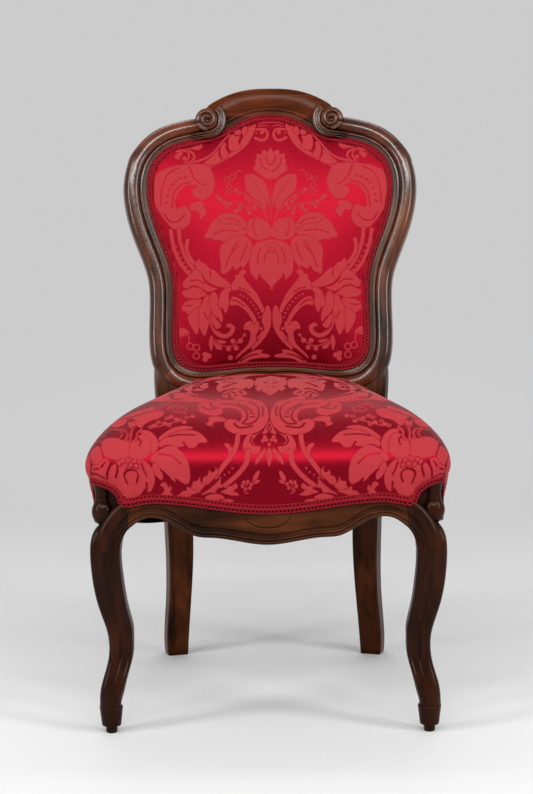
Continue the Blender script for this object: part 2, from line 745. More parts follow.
# %% [markdown]
# ## From the photograph to the cloth
# The damask was read off the photograph by eye, in pixels. Each reading is carried to the points of the
# cushion that the camera sees there, and from them to the flat cloth, so that the figure lies where the
# photograph has it.

# %% Pixels and flat cloth
PHOTO_SIZE = (533, 794)
SPOKE_LEVEL = 40
BACK_MIDDLE_Z = 690.0
READ_POINTS = 4
READ_SOFTNESS = 0.05
CROWN_LEVELS_UNSEEN = 6
to_camera = np.array(camera.matrix_world.inverted())


def to_pixels(points):
    """Places of points, in millimetres, in the photograph."""
    local = points * MM @ to_camera[:3, :3].T + to_camera[:3, 3]
    focal = CAMERA_LENS / CAMERA_SENSOR * PHOTO_SIZE[1]
    x = PHOTO_SIZE[0] / 2 - focal * local[..., 0] / local[..., 2]
    y = PHOTO_SIZE[1] / 2 + focal * local[..., 1] / local[..., 2]
    return np.stack([x, y], axis=-1)


def flat_seat(grid):
    """Flat cloth of the seat: distance along the cushion from its crown, in the plan's direction."""
    plan = grid[..., :2] - np.array([0, SEAT_MIDDLE_Y])
    steps = np.linalg.norm(np.diff(grid, axis=0), axis=2)
    length = np.concatenate([np.cumsum(steps[::-1], axis=0)[::-1], np.zeros((1, grid.shape[1]))])
    spoke = plan[SPOKE_LEVEL]
    direction = spoke / np.linalg.norm(spoke, axis=1)[:, None]
    return direction * length[..., None]


def flat_back(points):
    """Flat cloth of the back: across, and up the slope."""
    return np.stack([points[..., 0], (points[..., 2] - BACK_MIDDLE_Z) / LEAN], axis=-1)


def reader(points, cloth, seen):
    """Function that carries photograph pixels to the flat cloth of one cushion."""
    pixels = to_pixels(points[seen])
    flat = cloth[seen]

    def read(places):
        found = []
        for place in np.asarray(places, float):
            gap = np.linalg.norm(pixels - place, axis=1)
            near = np.argpartition(gap, READ_POINTS)[:READ_POINTS]
            weight = 1 / (gap[near] + READ_SOFTNESS)
            found.append((flat[near] * weight[:, None]).sum(axis=0) / weight.sum())
        return np.array(found)

    return read


def seat_facing(grid):
    """Which points of the seat face the camera."""
    across = np.roll(grid, -1, axis=1) - np.roll(grid, 1, axis=1)
    up = np.gradient(grid, axis=0)
    normal = np.cross(across, up)
    sight_line = np.array(camera.location) / MM - grid
    return np.einsum("ijk,ijk->ij", normal, sight_line) > 0


seat_flat = flat_seat(seat_drawn)
back_flat = flat_back(back_drawn)
seat_seen = seat_facing(seat_drawn)
seat_seen[-CROWN_LEVELS_UNSEEN:] = False
print("seat points seen", int(seat_seen.sum()), "of", seat_seen.size)
read_seat = reader(seat_drawn, seat_flat, seat_seen)
read_back = reader(back_drawn, back_flat, back_keep)

# %% [markdown]
# ## Drawing a damask
# A figure is kept as a signed distance for every point of the cloth: below zero inside, above zero
# outside. Petals are closed smooth outlines, stems are tapering strokes, and veins are cut out again.

# %% Smooth lines
def smooth_closed(points, per=5):
    """Smooth closed line through the points."""
    p = np.asarray(points, float)
    t = np.linspace(0, 1, per, endpoint=False)[None, :, None]
    a, b, c, d = (np.roll(p, shift, axis=0)[:, None, :] for shift in (1, 0, -1, -2))
    curve = b + 0.5 * t * (c - a + t * (2 * a - 5 * b + 4 * c - d + t * (3 * (b - c) + d - a)))
    return curve.reshape(-1, 2)


def smooth_open(points, per=6):
    """Smooth open line through the points."""
    p = np.asarray(points, float)
    return smooth_rows(p, np.linspace(0, len(p) - 1, per * (len(p) - 1) + 1))


print("three points make", len(smooth_open([(0, 0), (1, 1), (2, 0)])), "points of a smooth line")

# %% Figure class
LINE_GAIN = 0.45
RIM = 1.25
SHAPE_MARGIN = 8
STROKE_MARGIN = 12
FAR_AWAY = 60.0


class Figure:
    """Signed distance of a mirrored figure over the points of one cloth."""

    def __init__(self, cloth, read, axis_px, axis_rows, folds=None):
        """The cloth may be folded back at three lines, so that the figure repeats in mirror image."""
        self.read = read
        self.axis_px = axis_px
        self.axis = read([(axis_px, row) for row in axis_rows])[:, 0].mean()
        self.points = np.c_[np.abs(cloth[..., 0] - self.axis).ravel(), cloth[..., 1].ravel()]
        if folds:
            side, front, rear = folds
            depth = rear - front
            self.points[:, 0] = side - np.abs(self.points[:, 0] - side)
            self.points[:, 1] = rear - np.abs((self.points[:, 1] - front) % (2 * depth) - depth)
        self.distance = np.full(len(self.points), FAR_AWAY)

    def place(self, readings):
        """Readings are (pixels left of the axis, pixels down); gives places on half of the cloth."""
        found = self.read([(self.axis_px - across, down) for across, down in readings])
        return np.c_[self.axis - found[:, 0], found[:, 1]]

    def near(self, line, margin):
        """Numbers of the points in a box round a line."""
        low, high = line.min(axis=0) - margin, line.max(axis=0) + margin
        return np.flatnonzero(((self.points > low) & (self.points < high)).all(axis=1))

    def fill(self, at, signed):
        """Add a shape to the figure and leave a rim of ground round it."""
        self.distance[at] = np.minimum(np.maximum(self.distance[at], RIM - signed), signed)

    def clear(self, at, signed):
        """Take a shape out of the figure."""
        self.distance[at] = np.maximum(self.distance[at], LINE_GAIN - signed)

    def stroke_distance(self, readings, start, end):
        """Distance from a stroke whose half width runs from start to end."""
        line = smooth_open(self.place(readings))
        at = self.near(line, STROKE_MARGIN)
        best = np.full(len(at), np.inf)
        widths = np.linspace(start, end, len(line))
        for first, second, width in zip(line, line[1:], widths):
            best = np.minimum(best, line_distance(self.points[at], np.array([first, second])) - width)
        return at, best

    def round_distance(self, centre, radius):
        """Distance from a round spot."""
        at = self.near(self.place([centre]), radius + SHAPE_MARGIN)
        return at, np.linalg.norm(self.points[at] - self.place([centre]), axis=1) - radius

    def petals(self, outlines):
        for readings in outlines:
            line = smooth_closed(self.place(readings))
            at = self.near(line, SHAPE_MARGIN)
            gap = line_distance(self.points[at], line, closed=True)
            self.fill(at, np.where(inside_outline(self.points[at], line), -gap, gap))

    def stems(self, lines, start, end):
        for readings in lines:
            self.fill(*self.stroke_distance(readings, start, end))

    def cuts(self, lines, start, end):
        for readings in lines:
            self.clear(*self.stroke_distance(readings, start, end))

    def dots(self, centres, radius):
        for centre in centres:
            at, signed = self.round_distance(centre, radius)
            self.distance[at] = np.minimum(self.distance[at], signed)

    def holes(self, centres, radius):
        for centre in centres:
            self.clear(*self.round_distance(centre, radius))

    def rings(self, centres, radius, width):
        for centre in centres:
            at, signed = self.round_distance(centre, radius)
            self.distance[at] = np.minimum(self.distance[at], np.abs(signed) - width)


print("a figure is drawn with", [name for name in vars(Figure) if name.endswith("s")])

# %% [markdown]
# ## Figure of the back
# Every outline is a few readings of the photograph, as pixels left of the cloth's centre line and
# pixels down. A smooth curve runs through them, and the right half is the mirror of the left. Widths
# are millimetres. A petal cuts a thin line of ground round itself, so that petals stay apart.

# %% Figure of the back: top and scrolls
BACK_AXIS_PX = 271.4
BACK_AXIS_ROWS = (150, 250, 350)
back_figure = Figure(back_flat, read_back, BACK_AXIS_PX, BACK_AXIS_ROWS)
band_petals = [
    [(15.7, 124), (17.5, 132), (22, 141), (29, 149), (38, 155.5), (48, 161), (58, 166), (64, 167.5),
     (69, 163.7), (60, 163), (50, 159), (41, 153), (33.5, 146), (29, 139), (26.5, 132), (24, 127.5),
     (20, 126)],
    [(24, 132), (28, 136), (29.5, 130), (27.5, 126.8), (24.5, 127)],
    [(30, 131.5), (33, 129.5), (37, 130.8), (36.5, 134), (32, 135)],
    [(31, 147), (33.5, 142), (31.8, 136.5), (36, 136.5), (38, 134.6), (41.5, 136), (43, 143),
     (41.5, 150), (36, 150)],
    [(43, 154), (46, 148), (45.3, 143.5), (48.5, 142.3), (50.5, 147), (51, 152.5), (49, 158),
     (44.5, 157.5)],
    [(50, 161), (53, 155), (52.7, 150), (57, 153.5), (61, 158), (67, 162.5), (62, 165), (55, 164)],
    [(92, 149.5), (82, 148), (73, 145.5), (69, 144.5), (70, 148), (74, 150), (80, 149)],
]
band_stems = [
    [(80, 162.3), (72, 160.5), (63, 156.5), (55, 149), (49, 141.5), (41.5, 134.3)],
    [(95, 151.5), (90, 150.5), (85, 151), (82.5, 155), (83.5, 159.5), (87, 163)],
    [(83, 150.8), (78.3, 153.5), (77.3, 158), (82, 163), (91, 166), (100, 171)],
]
top_scroll = [(15, 129.5), (10, 129), (5.5, 130), (3.8, 134), (5.5, 138.5), (10, 140), (16.5, 137.8)]
top_threads = [
    [(13.5, 126.5), (8, 125), (3, 126.2)],
    [(13.5, 123.5), (8, 122.5), (1, 122.5)],
]
band_flower = [(94, 156.5)]
band_buds = [(9.2, 132.3), (91, 154), (87, 158.3)]
top_eye = [(15.3, 133)]
back_figure.petals(band_petals)
back_figure.stems(band_stems, start=1.9, end=1.2)
back_figure.stems([top_scroll], start=1.9, end=2.3)
back_figure.stems(top_threads, start=0.8, end=0.8)
back_figure.dots(band_flower, radius=4.6)
back_figure.dots(band_buds, radius=3.4)
back_figure.dots(top_eye, radius=1.5)

scroll_outline = [(62, 167), (58.5, 174), (56.4, 181), (57.8, 189), (61.4, 195.6), (68, 199.7),
                  (74, 198.4), (78.8, 193), (77.8, 188.5), (73.5, 186.5), (80, 184.5), (87, 186.5),
                  (93.2, 193), (96.4, 201), (95.5, 208), (91.4, 208), (86, 206), (81.5, 212), (81, 220),
                  (85, 226.5), (91.4, 229.7), (98.7, 228.4), (105, 222), (111, 214), (116.4, 203),
                  (117.3, 189), (115.5, 176), (107, 169.5), (95, 165.5), (80, 164), (70.5, 164.3)]
scroll_lines = [
    [(110.5, 205), (110, 194), (107.8, 183), (102, 173), (92, 167.5)],
    [(99.5, 208), (98.7, 201), (97.5, 194), (93.5, 187.5), (87.5, 183.6), (80.5, 182)],
    [(82, 166.5), (80, 172), (77.5, 177.5), (71, 183.5), (65, 185.5)],
    [(87, 214.5), (90.5, 219), (95, 222), (102, 221), (107, 214)],
]
scroll_beads = [(105.3, 203), (104.2, 196), (102.3, 189.8), (99.2, 185), (95.7, 181.3), (91.3, 178.4),
                (86.5, 177)]
tongue = [(81.5, 205.6), (77, 202.5), (70.5, 201.5), (66.4, 204.7), (69, 206), (65.5, 209.7),
          (66.4, 214.7), (71, 219.3), (71.9, 214.7), (74, 211), (79.6, 211), (81.4, 208.4)]
back_figure.petals([scroll_outline])
back_figure.cuts(scroll_lines, start=0.9, end=0.7)
back_figure.holes(scroll_beads, radius=2.1)
back_figure.petals([tongue])
print("top and scrolls drawn")

# %% Figure of the back: flower, berries and peony
tulip = [(0, 148), (1.6, 148.6), (3.6, 152), (6.6, 150), (9.4, 151.2), (9.6, 154.6), (14.4, 153.6),
         (14.8, 158), (16.4, 161), (15.8, 164.5), (17.6, 168), (15.5, 171.5), (11, 174.5), (6, 178),
         (0, 178.8), (-6, 178), (-6, 149)]
tulip_leaves = [
    [(26.5, 177), (25.8, 186), (23, 192.5), (17, 198), (11.5, 203.5), (7, 211), (5, 204), (6.5, 196),
     (10.5, 189.5), (15, 183), (19, 178), (23, 174)],
    [(22, 173.8), (14, 176.2), (7.5, 181), (3.6, 189), (2.4, 198), (1.2, 208), (4.6, 201), (8.6, 193.5),
     (13.5, 187), (18, 180.5)],
]
berries = [(54.5, 197), (51.5, 199.5), (47, 203), (44.5, 207), (41.5, 204), (35.5, 190), (32.5, 192.5),
           (31, 205.5), (35, 211), (31.5, 209), (25, 198), (21.5, 202), (23.5, 208), (22, 213),
           (15, 203.5), (17.5, 207)]
tendrils = [(44.2, 179.5), (38.8, 177.3), (42.6, 186.4), (42.4, 193)]
tulip_lines = [
    [(11.5, 158), (9, 166), (2, 171.5)],
    [(5.5, 155.5), (4, 162), (0, 165.5)],
]
leaf_stem = [(28, 193), (20, 199), (12.5, 205.5), (6.5, 213), (4, 219)]
tulip_stem = [(0, 180), (0, 219)]
berry_stem = [(50, 200), (40, 203), (28, 205), (14, 211)]
tendril_stem = [(36.5, 174.5), (33.5, 170.5), (29.5, 170.5)]
back_figure.petals([tulip])
back_figure.cuts(tulip_lines, start=0.6, end=0.6)
back_figure.petals(tulip_leaves)
back_figure.stems([leaf_stem], start=1.0, end=1.2)
back_figure.stems([tulip_stem], start=1.3, end=2.0)
back_figure.stems([berry_stem], start=0.8, end=0.9)
back_figure.dots(berries, radius=3.5)
back_figure.holes(berries[::3], radius=0.8)
back_figure.rings(tendrils, radius=4.3, width=0.8)
back_figure.stems([tendril_stem], start=0.8, end=0.7)

peony_petals = [
    [(54, 218.4), (49.6, 214.3), (42.3, 213), (34, 215), (27.8, 220), (24.5, 228), (32, 227), (40, 225),
     (47, 227)],
    [(53.5, 218.8), (60, 223.5), (63.5, 230), (66.8, 237.6), (60.5, 238.3), (57, 240.5), (53, 240),
     (46, 241.5), (38, 237.5), (29.6, 236), (25, 232), (32, 226.5), (40, 224.3), (47.5, 224.5)],
    [(50.5, 246.5), (51.7, 255), (50.6, 262), (49.8, 274), (43, 271.5), (38.2, 266), (36, 269.5),
     (30.2, 266), (28.3, 268.5), (24, 262.3), (20.5, 256), (19, 248), (22, 239), (30, 235.5), (38, 237),
     (45, 241)],
    [(0, 289.8), (1.6, 286), (5.5, 281.5), (9.5, 278), (12.6, 273), (13.9, 279.5), (18, 276.5),
     (20.8, 272.5), (22, 262), (20, 250), (14, 243), (6, 240.5), (0, 240), (-8, 250), (-8, 280)],
    [(0, 228.5), (3.2, 223.3), (9.6, 219), (17, 217.5), (22.3, 220), (24.6, 227.5), (24.5, 233),
     (20, 238), (12.3, 240), (5, 238.5), (0, 236.5), (-6, 236), (-6, 228)],
]
peony_lines = [
    [(17, 219), (18.7, 227), (15, 236)],
    [(7, 262), (6.5, 256), (3.5, 252.5), (0, 251.8)],
    [(13.7, 263), (13.2, 255), (10, 248)],
    [(39.6, 250.5), (36, 245), (33, 241)],
    [(46, 268), (41, 255), (33, 246)],
    [(31, 261), (27, 252), (24.5, 243)],
    [(58, 234), (47, 230.5), (34, 231.5)],
    [(45, 218.5), (36, 219.5), (29, 224)],
]
peony_seeds = [(4.5, 240), (2, 243.5), (6, 245), (1, 247.5), (3.8, 250)]
back_figure.petals(peony_petals)
back_figure.cuts(peony_lines, start=0.7, end=0.7)
back_figure.holes(peony_seeds, radius=0.9)
print("flower and peony drawn")

# %% Figure of the back: stems and lower acanthus
acanthus_leaves = [
    [(79, 272), (74, 269), (70, 275), (67, 282), (60, 287), (54, 288.5), (62, 292), (68, 289.5),
     (74, 286), (80, 286), (86, 288.5), (88.7, 283.5), (84, 277)],
    [(89.5, 292), (84, 289.5), (77, 287), (70, 290), (64.5, 295), (70, 297), (74, 299.5), (80, 298.5),
     (85, 298), (87.5, 296)],
    [(88, 304), (83, 300.5), (76, 300), (70, 300), (72, 307), (73, 314), (72, 321), (77, 318),
     (82, 315.5), (86, 311.5), (89.5, 310)],
    [(83, 316), (82.5, 322), (79, 329), (74.3, 334.5), (72.5, 328.5), (69.5, 322.5), (72, 314),
     (73.5, 308)],
    [(69, 303), (66.5, 297), (62.5, 295.5), (61.5, 302), (60.5, 310), (61, 318), (63, 325),
     (66.3, 335.5), (70, 332), (72.5, 324), (72.5, 314), (71.5, 307)],
    [(62, 298), (58, 292), (54.5, 295), (52.8, 303), (50.5, 310), (48.5, 318), (49.8, 322.8), (53, 318),
     (56, 316.5), (59, 312), (61, 306)],
    [(52.5, 307), (52, 298), (49, 291.5), (44.5, 288), (39.5, 288.5), (42.5, 293.5), (43, 298),
     (42.5, 304), (45.5, 312.8), (49, 308)],
    [(75.5, 268), (75, 262), (72.5, 259.3), (69.5, 263), (66.5, 263.5), (62.5, 268), (58, 270),
     (50, 277), (43, 282.5), (38.5, 286.3), (45, 287.5), (52, 287), (60, 284), (66, 279), (70, 273)],
    [(39.8, 286.5), (38.3, 281.5), (36, 278.5), (36.6, 275.5), (32.6, 274.5), (31.5, 271.2), (27.5, 270),
     (25, 272.5), (27.5, 274.8), (27.3, 278.5), (22, 285), (15, 293.5), (10.5, 302), (7.3, 310),
     (9.5, 312.7), (13.5, 306), (19.5, 298.5), (26, 292.3), (33, 290), (39, 290.5)],
    [(41, 305.5), (34, 305), (26, 310.5), (19.6, 319), (16.9, 325.5), (14.5, 321), (19.5, 311.5),
     (27, 303), (34, 297.8), (39.5, 297.5)],
]
acanthus_lines = [
    [(61.5, 270.5), (60.5, 277)],
    [(33, 288), (27, 289.3), (21.5, 292.5)],
    [(39, 300.5), (34, 301), (27.5, 306)],
    [(67.5, 312.5), (64, 319)],
    [(86, 306), (79, 305.5)],
    [(80.5, 281), (73, 280.5), (67, 284)],
]
side_stems = [
    [(92.5, 230), (91.5, 240), (88, 252), (82.5, 263), (76.5, 271)],
    [(84, 240.5), (84.7, 249), (82, 257), (77, 263.5)],
    [(100.5, 231), (98.5, 244), (95.5, 254), (90, 265), (82, 275)],
]
ladder_squares = [(94.8, 246.8), (92.5, 253), (90.2, 258), (87.4, 262.7), (84.7, 266.8), (81.6, 271.2),
                  (31.2, 295), (27.2, 296.4), (23.7, 298.8), (20.5, 302), (17.8, 305.5), (15.4, 309.3),
                  (13.2, 313.4), (11.8, 317.5)]
back_figure.stems(side_stems, start=3.0, end=2.6)
back_figure.petals(acanthus_leaves)
back_figure.cuts(acanthus_lines, start=0.8, end=0.6)
back_figure.dots(ladder_squares, radius=1.7)

hook_line = [(60, 316), (58.7, 326), (54, 333.5), (47, 336.2), (40.5, 333.5), (38.3, 328), (41.5, 325.3)]
spray_stem = [(57.5, 340), (50, 345), (42, 346.5), (36, 344.5), (31, 340), (27, 335)]
small_petals = [
    [(59.5, 315), (51, 324.5), (51, 327.3), (55, 329), (58.5, 326)],
    [(61, 337), (62.7, 343), (61.5, 347.5), (60, 351.5), (58.2, 345), (57.5, 340), (60, 335.5)],
    [(57.7, 341), (55.5, 348), (50.5, 350), (49.3, 348.5), (51.5, 344.5), (54.5, 341.5)],
    [(57, 340.3), (52, 340), (45.8, 341.3), (47, 343.2), (52, 343)],
    [(92, 329), (87, 328.5), (82, 333), (83, 336), (87, 335.5), (91, 337)],
    [(3, 305.8), (0.8, 312), (0.2, 320), (1, 327), (4, 334), (10.5, 342.3), (18.5, 350), (19.8, 346),
     (15, 341), (10.8, 333), (7.2, 329.5), (9.6, 321), (8.7, 314.5), (6.8, 312), (5.5, 306.8)],
    [(27.7, 329), (27, 325), (24.5, 322), (20.5, 321.3), (17, 325.5), (13.7, 321), (12, 325),
     (12.5, 330), (14.5, 334), (12.5, 339), (15.5, 342), (19.5, 346.5), (27, 352), (36, 359.5),
     (33, 354), (25, 346.5), (22, 341), (20.8, 334), (23, 329.8)],
    [(34, 363), (28, 357.5), (21, 352.5), (15, 350.3), (8.8, 350), (10, 353), (4, 354.3), (0.8, 356),
     (5, 357.8), (11, 358), (20, 359.5), (28, 363)],
]
small_lines = [
    [(59, 325), (55.5, 330), (50.5, 331)],
    [(12, 332), (14.8, 335), (15, 340.5)],
    [(31, 361), (22, 356), (13, 354)],
]
curl_stem = [(84.5, 334.5), (82.5, 337.5), (82.7, 342)]
spray_berries = [(43, 349), (35.5, 348), (38.5, 341.3), (31, 341), (41, 357.7), (66.5, 354.5),
                 (62.5, 356), (66, 359.5)]
stem_knobs = [(27, 335.2), (10.3, 328.8), (43.6, 325.8)]
curls = [(81.4, 346.4), (75, 347.5), (75, 356)]
back_figure.stems([hook_line], start=3.6, end=3.4)
back_figure.petals(small_petals)
back_figure.cuts(small_lines, start=0.8, end=0.6)
back_figure.stems([spray_stem], start=0.8, end=0.9)
back_figure.stems([curl_stem], start=1.0, end=0.9)
back_figure.dots(spray_berries, radius=4.2)
back_figure.dots(stem_knobs, radius=2.6)
back_figure.rings(curls, radius=5.2, width=1.0)
print("back figure covers", round(float((back_figure.distance < 0).mean()), 3))

# %% [markdown]
# ## Figure of the seat
# The seat carries the same kind of figure, wider. The photograph shows little or nothing of the cloth
# beyond a line at the rear, the front and the flanks. There the figure is folded back, so that it
# repeats in mirror image.

# %% Figure of the seat: rear leaves and ladder scrolls
SEAT_FOLDS = (264.0, -345.0, -62.0)  # side, front and rear line on the flat cloth
SEAT_AXIS_PX = 269.2
SEAT_AXIS_ROWS = (440,)
seat_figure = Figure(seat_flat, read_seat, SEAT_AXIS_PX, SEAT_AXIS_ROWS, SEAT_FOLDS)
rear_petals = [
    [(12, 380), (14.5, 382.8), (14.6, 385.6), (10.5, 385.2), (14, 387.4), (13.4, 389.2), (10.6, 391.2),
     (8, 390), (5.5, 392.2), (3, 393.2), (1.2, 394.6), (0, 395.2), (-4, 393.5), (-6, 391), (-6, 378),
     (0, 376)],
    [(13.5, 376.5), (24, 376.8), (36, 378), (48, 379.6), (58, 380.4), (65, 381.6), (56, 382.4),
     (50.5, 383.2), (52.6, 386.4), (52.6, 389.4), (50, 392), (45.5, 390.4), (39, 388.9), (36, 388.1),
     (30, 389.2), (25, 388.7), (22.4, 386.8), (21.6, 388.8), (18, 387.9), (16.3, 385.8), (15.4, 382.4)],
    [(61, 385.5), (63, 383), (70, 381.8), (79, 383.5), (86, 387.5), (82, 391), (76, 390.5), (70, 391),
     (64, 389)],
    [(122, 400.7), (112, 396), (104, 391.5), (96, 388.5), (90, 391), (80, 391.5), (76, 393), (68, 396),
     (58, 398), (47, 399.3), (60, 402.7), (75, 402), (95, 401), (110, 401.7)],
    [(48, 395.3), (46.5, 393.4), (43, 391.2), (38.5, 389.9), (32, 389.6), (26.5, 390.2), (23, 391.6),
     (22, 393), (23.5, 394.6), (28.5, 396.2), (22, 398), (14, 400), (18, 400.6), (28, 399.9),
     (36, 399.4), (43, 397.8)],
]
rear_lines = [
    [(45.5, 387.4), (40, 385), (34, 383.4), (28, 382.4)],
    [(32, 378.4), (24, 379.6), (21, 380.6)],
    [(9, 376), (6, 376.6), (2, 376.4)],
    [(8, 381.4), (4, 383)],
    [(83, 388), (76, 386.5), (74.5, 388.5), (77, 389.7)],
    [(65, 384.5), (70, 386), (70, 388.3), (66, 388.5)],
    [(101, 396), (95, 392.8), (90, 393), (86, 391)],
    [(98, 394.5), (96, 398.7), (87, 399)],
    [(78, 395), (66, 397.7), (52, 400)],
    [(45.5, 394.6), (42.5, 393.5), (38, 391.4)],
    [(36, 392), (34.4, 393.4)],
    [(40, 394.5), (39.6, 397), (37.5, 398.5), (35, 398)],
    [(33.6, 395), (31.6, 395.7)],
    [(29.6, 391.4), (28.5, 392.6), (26.8, 393.2)],
]
rear_eyes = [(22.5, 379), (1.5, 383.8), (1.5, 387), (84, 393.5), (80, 394.3), (76, 396.3)]
seat_figure.petals(rear_petals)
seat_figure.cuts(rear_lines, start=1.8, end=1.4)
seat_figure.holes(rear_eyes, radius=1.7)

ladder_scroll = [(71.5, 408.5), (69.5, 404.3), (63, 401.9), (52, 400.6), (42, 400), (31, 400.6),
                 (21, 400.7), (13.5, 400), (7, 402), (2.2, 408.5), (0.6, 416), (2.5, 423), (8.4, 430),
                 (18, 434), (28.5, 434.7), (38, 432.3), (43.8, 427.5), (44.6, 422.5), (40.5, 419.3),
                 (34.5, 419.7), (29.8, 421.5), (27.5, 416), (30, 411), (37, 408.3), (46.5, 408.3),
                 (46.3, 412), (49, 414.6), (54, 415.8), (61, 415), (68.5, 412.5)]
ladder_lines = [
    [(59, 402.7), (56.8, 406.3), (50, 408)],
    [(67, 406.3), (62.5, 409.3), (54.5, 409)],
    [(48, 404), (38, 404.3), (28, 407), (22.8, 412), (22, 418), (27, 423)],
    [(20, 402.2), (12.5, 405.8), (10, 412.5), (12.5, 419.5), (19, 423.7), (25, 424)],
    [(7.5, 406), (5.8, 411), (7, 416)],
    [(35, 423), (32, 426.8), (26, 427.7), (17, 426)],
]
ladder_rungs = [
    [(30.5, 403.6), (29.3, 406.4)], [(26.8, 404.6), (25, 407.8)], [(23.2, 406.4), (20.8, 409.3)],
    [(20.2, 409), (17.2, 411.2)], [(18.8, 412.8), (15.2, 414.2)], [(18.6, 416.8), (14.8, 417)],
]
seat_tongue = [(60.5, 419), (59, 417), (49.5, 417), (42.5, 419.8), (47, 421.6), (53, 421.8),
               (56.8, 424.5), (55.4, 426.5), (61.3, 425.5), (63.2, 423.5), (60.3, 421.8)]
seat_figure.petals([ladder_scroll])
seat_figure.cuts(ladder_lines + ladder_rungs, start=1.4, end=1.2)
seat_figure.petals([seat_tongue])

shield_petals = [
    [(7.2, 431.2), (14.5, 434.8), (20.5, 434.5), (24.5, 439.4), (26.6, 445.3), (24.3, 451), (16.6, 454),
     (10.7, 452.4), (9, 446.5), (14.3, 444), (16.6, 440.6), (14.5, 437)],
    [(0, 421), (4.5, 429), (7, 434), (3, 433.3), (0, 431.5), (-3, 433), (-3, 421)],
    [(0, 447.5), (2.6, 452), (2, 460), (0, 466.5), (-2, 460), (-2, 450)],
    [(3.5, 447.5), (8, 452), (12.5, 458), (14, 465), (9, 460), (5, 454)],
]
shield_line = [(17.5, 436.5), (18.7, 441.5), (15, 445), (9.5, 445.5)]
bud_line = [(0, 424), (1.6, 429), (0, 431.5)]
shield_berries = [(4.6, 436.8), (6, 440.6), (0, 444.3), (2.3, 439.6)]
shield_eye = [(1.8, 437.8)]
seat_figure.petals(shield_petals)
seat_figure.cuts([shield_line], start=1.0, end=0.9)
seat_figure.cuts([bud_line], start=0.7, end=0.7)
seat_figure.dots(shield_berries, radius=3.0)
seat_figure.holes(shield_eye, radius=0.9)
print("ladder scrolls drawn")

# %% Figure of the seat: stems and front leaves
front_stems = [
    [(31.3, 435.5), (33, 445.3), (39, 457), (47.2, 467.6), (54, 477.5)],
    [(21.3, 451), (22.5, 461.8), (28.4, 471), (36.6, 479.4), (45, 485.5)],
]
front_petals = [
    [(45, 444), (42.5, 443.3), (39.5, 445), (37, 450), (40, 454), (41.3, 449.5), (43, 447)],
    [(54.7, 465.5), (53.7, 470), (57, 472.5), (60, 470.3), (61.3, 475.5), (65, 477), (67, 483.5),
     (62, 484.5), (57, 480), (51, 473)],
    [(69.3, 476.3), (71.5, 481), (76.3, 481.8), (77, 486.5), (81, 488.5), (75, 491.5), (69, 490),
     (64.5, 485.5), (68.3, 482)],
    [(82, 486.3), (82.5, 490.5), (86.5, 491), (90, 494.3), (95, 497.3), (84, 497), (75, 495.5),
     (68, 491.5), (76, 490)],
    [(68, 495), (60, 487.5), (54, 481.5), (48.5, 478), (48.8, 483.5), (45.5, 487), (51.5, 488.5),
     (54, 492.5), (60, 493)],
    [(63, 496), (55, 494), (49, 494.5), (44.8, 497.5), (50, 500.3), (56, 500.8), (63, 499.5)],
    [(48, 501), (42, 498.7), (35, 501), (42, 503.3)],
    [(109, 485), (106, 482), (102.5, 484), (101, 488), (98.6, 485.3), (97.5, 490), (99.3, 492.5),
     (95.8, 494), (101, 496), (108, 494.7), (104.7, 491), (106.3, 487)],
    [(49, 492), (43, 489), (41.5, 486), (38, 486.3), (33, 483), (32, 488), (36, 490.3), (29.5, 495),
     (37, 495.5), (43, 494)],
    [(16.5, 481), (15.5, 476), (12, 471.5), (9.5, 471), (10.5, 476), (13, 480)],
    [(15.5, 482.5), (12, 480), (9, 480.5), (11, 482.5), (14.5, 484)],
]
front_line = [(48, 477), (57, 485.5), (66, 492), (78, 496)]
front_squares = [(36.8, 468.2), (40.3, 472), (44.4, 475), (49, 478)]
front_flower = (22.5, 485.3)
flower_reach = (4.6, 3.9)
flower_stem = [(25, 489.5), (24, 493), (21, 493.5)]
flower_petals = []
for degrees in range(15, 360, 60):
    angle = math.radians(degrees)
    across = front_flower[0] + flower_reach[0] * math.cos(angle)
    down = front_flower[1] + flower_reach[1] * math.sin(angle)
    flower_petals.append((across, down))
seat_figure.stems(front_stems, start=3.8, end=3.2)
seat_figure.petals(front_petals)
seat_figure.cuts([front_line], start=0.9, end=0.8)
seat_figure.dots(front_squares, radius=1.7)
seat_figure.dots(flower_petals, radius=3.0)
seat_figure.holes([front_flower], radius=2.4)
seat_figure.dots([front_flower], radius=1.5)
seat_figure.stems([flower_stem], start=1.2, end=1.0)
print("front leaves drawn")

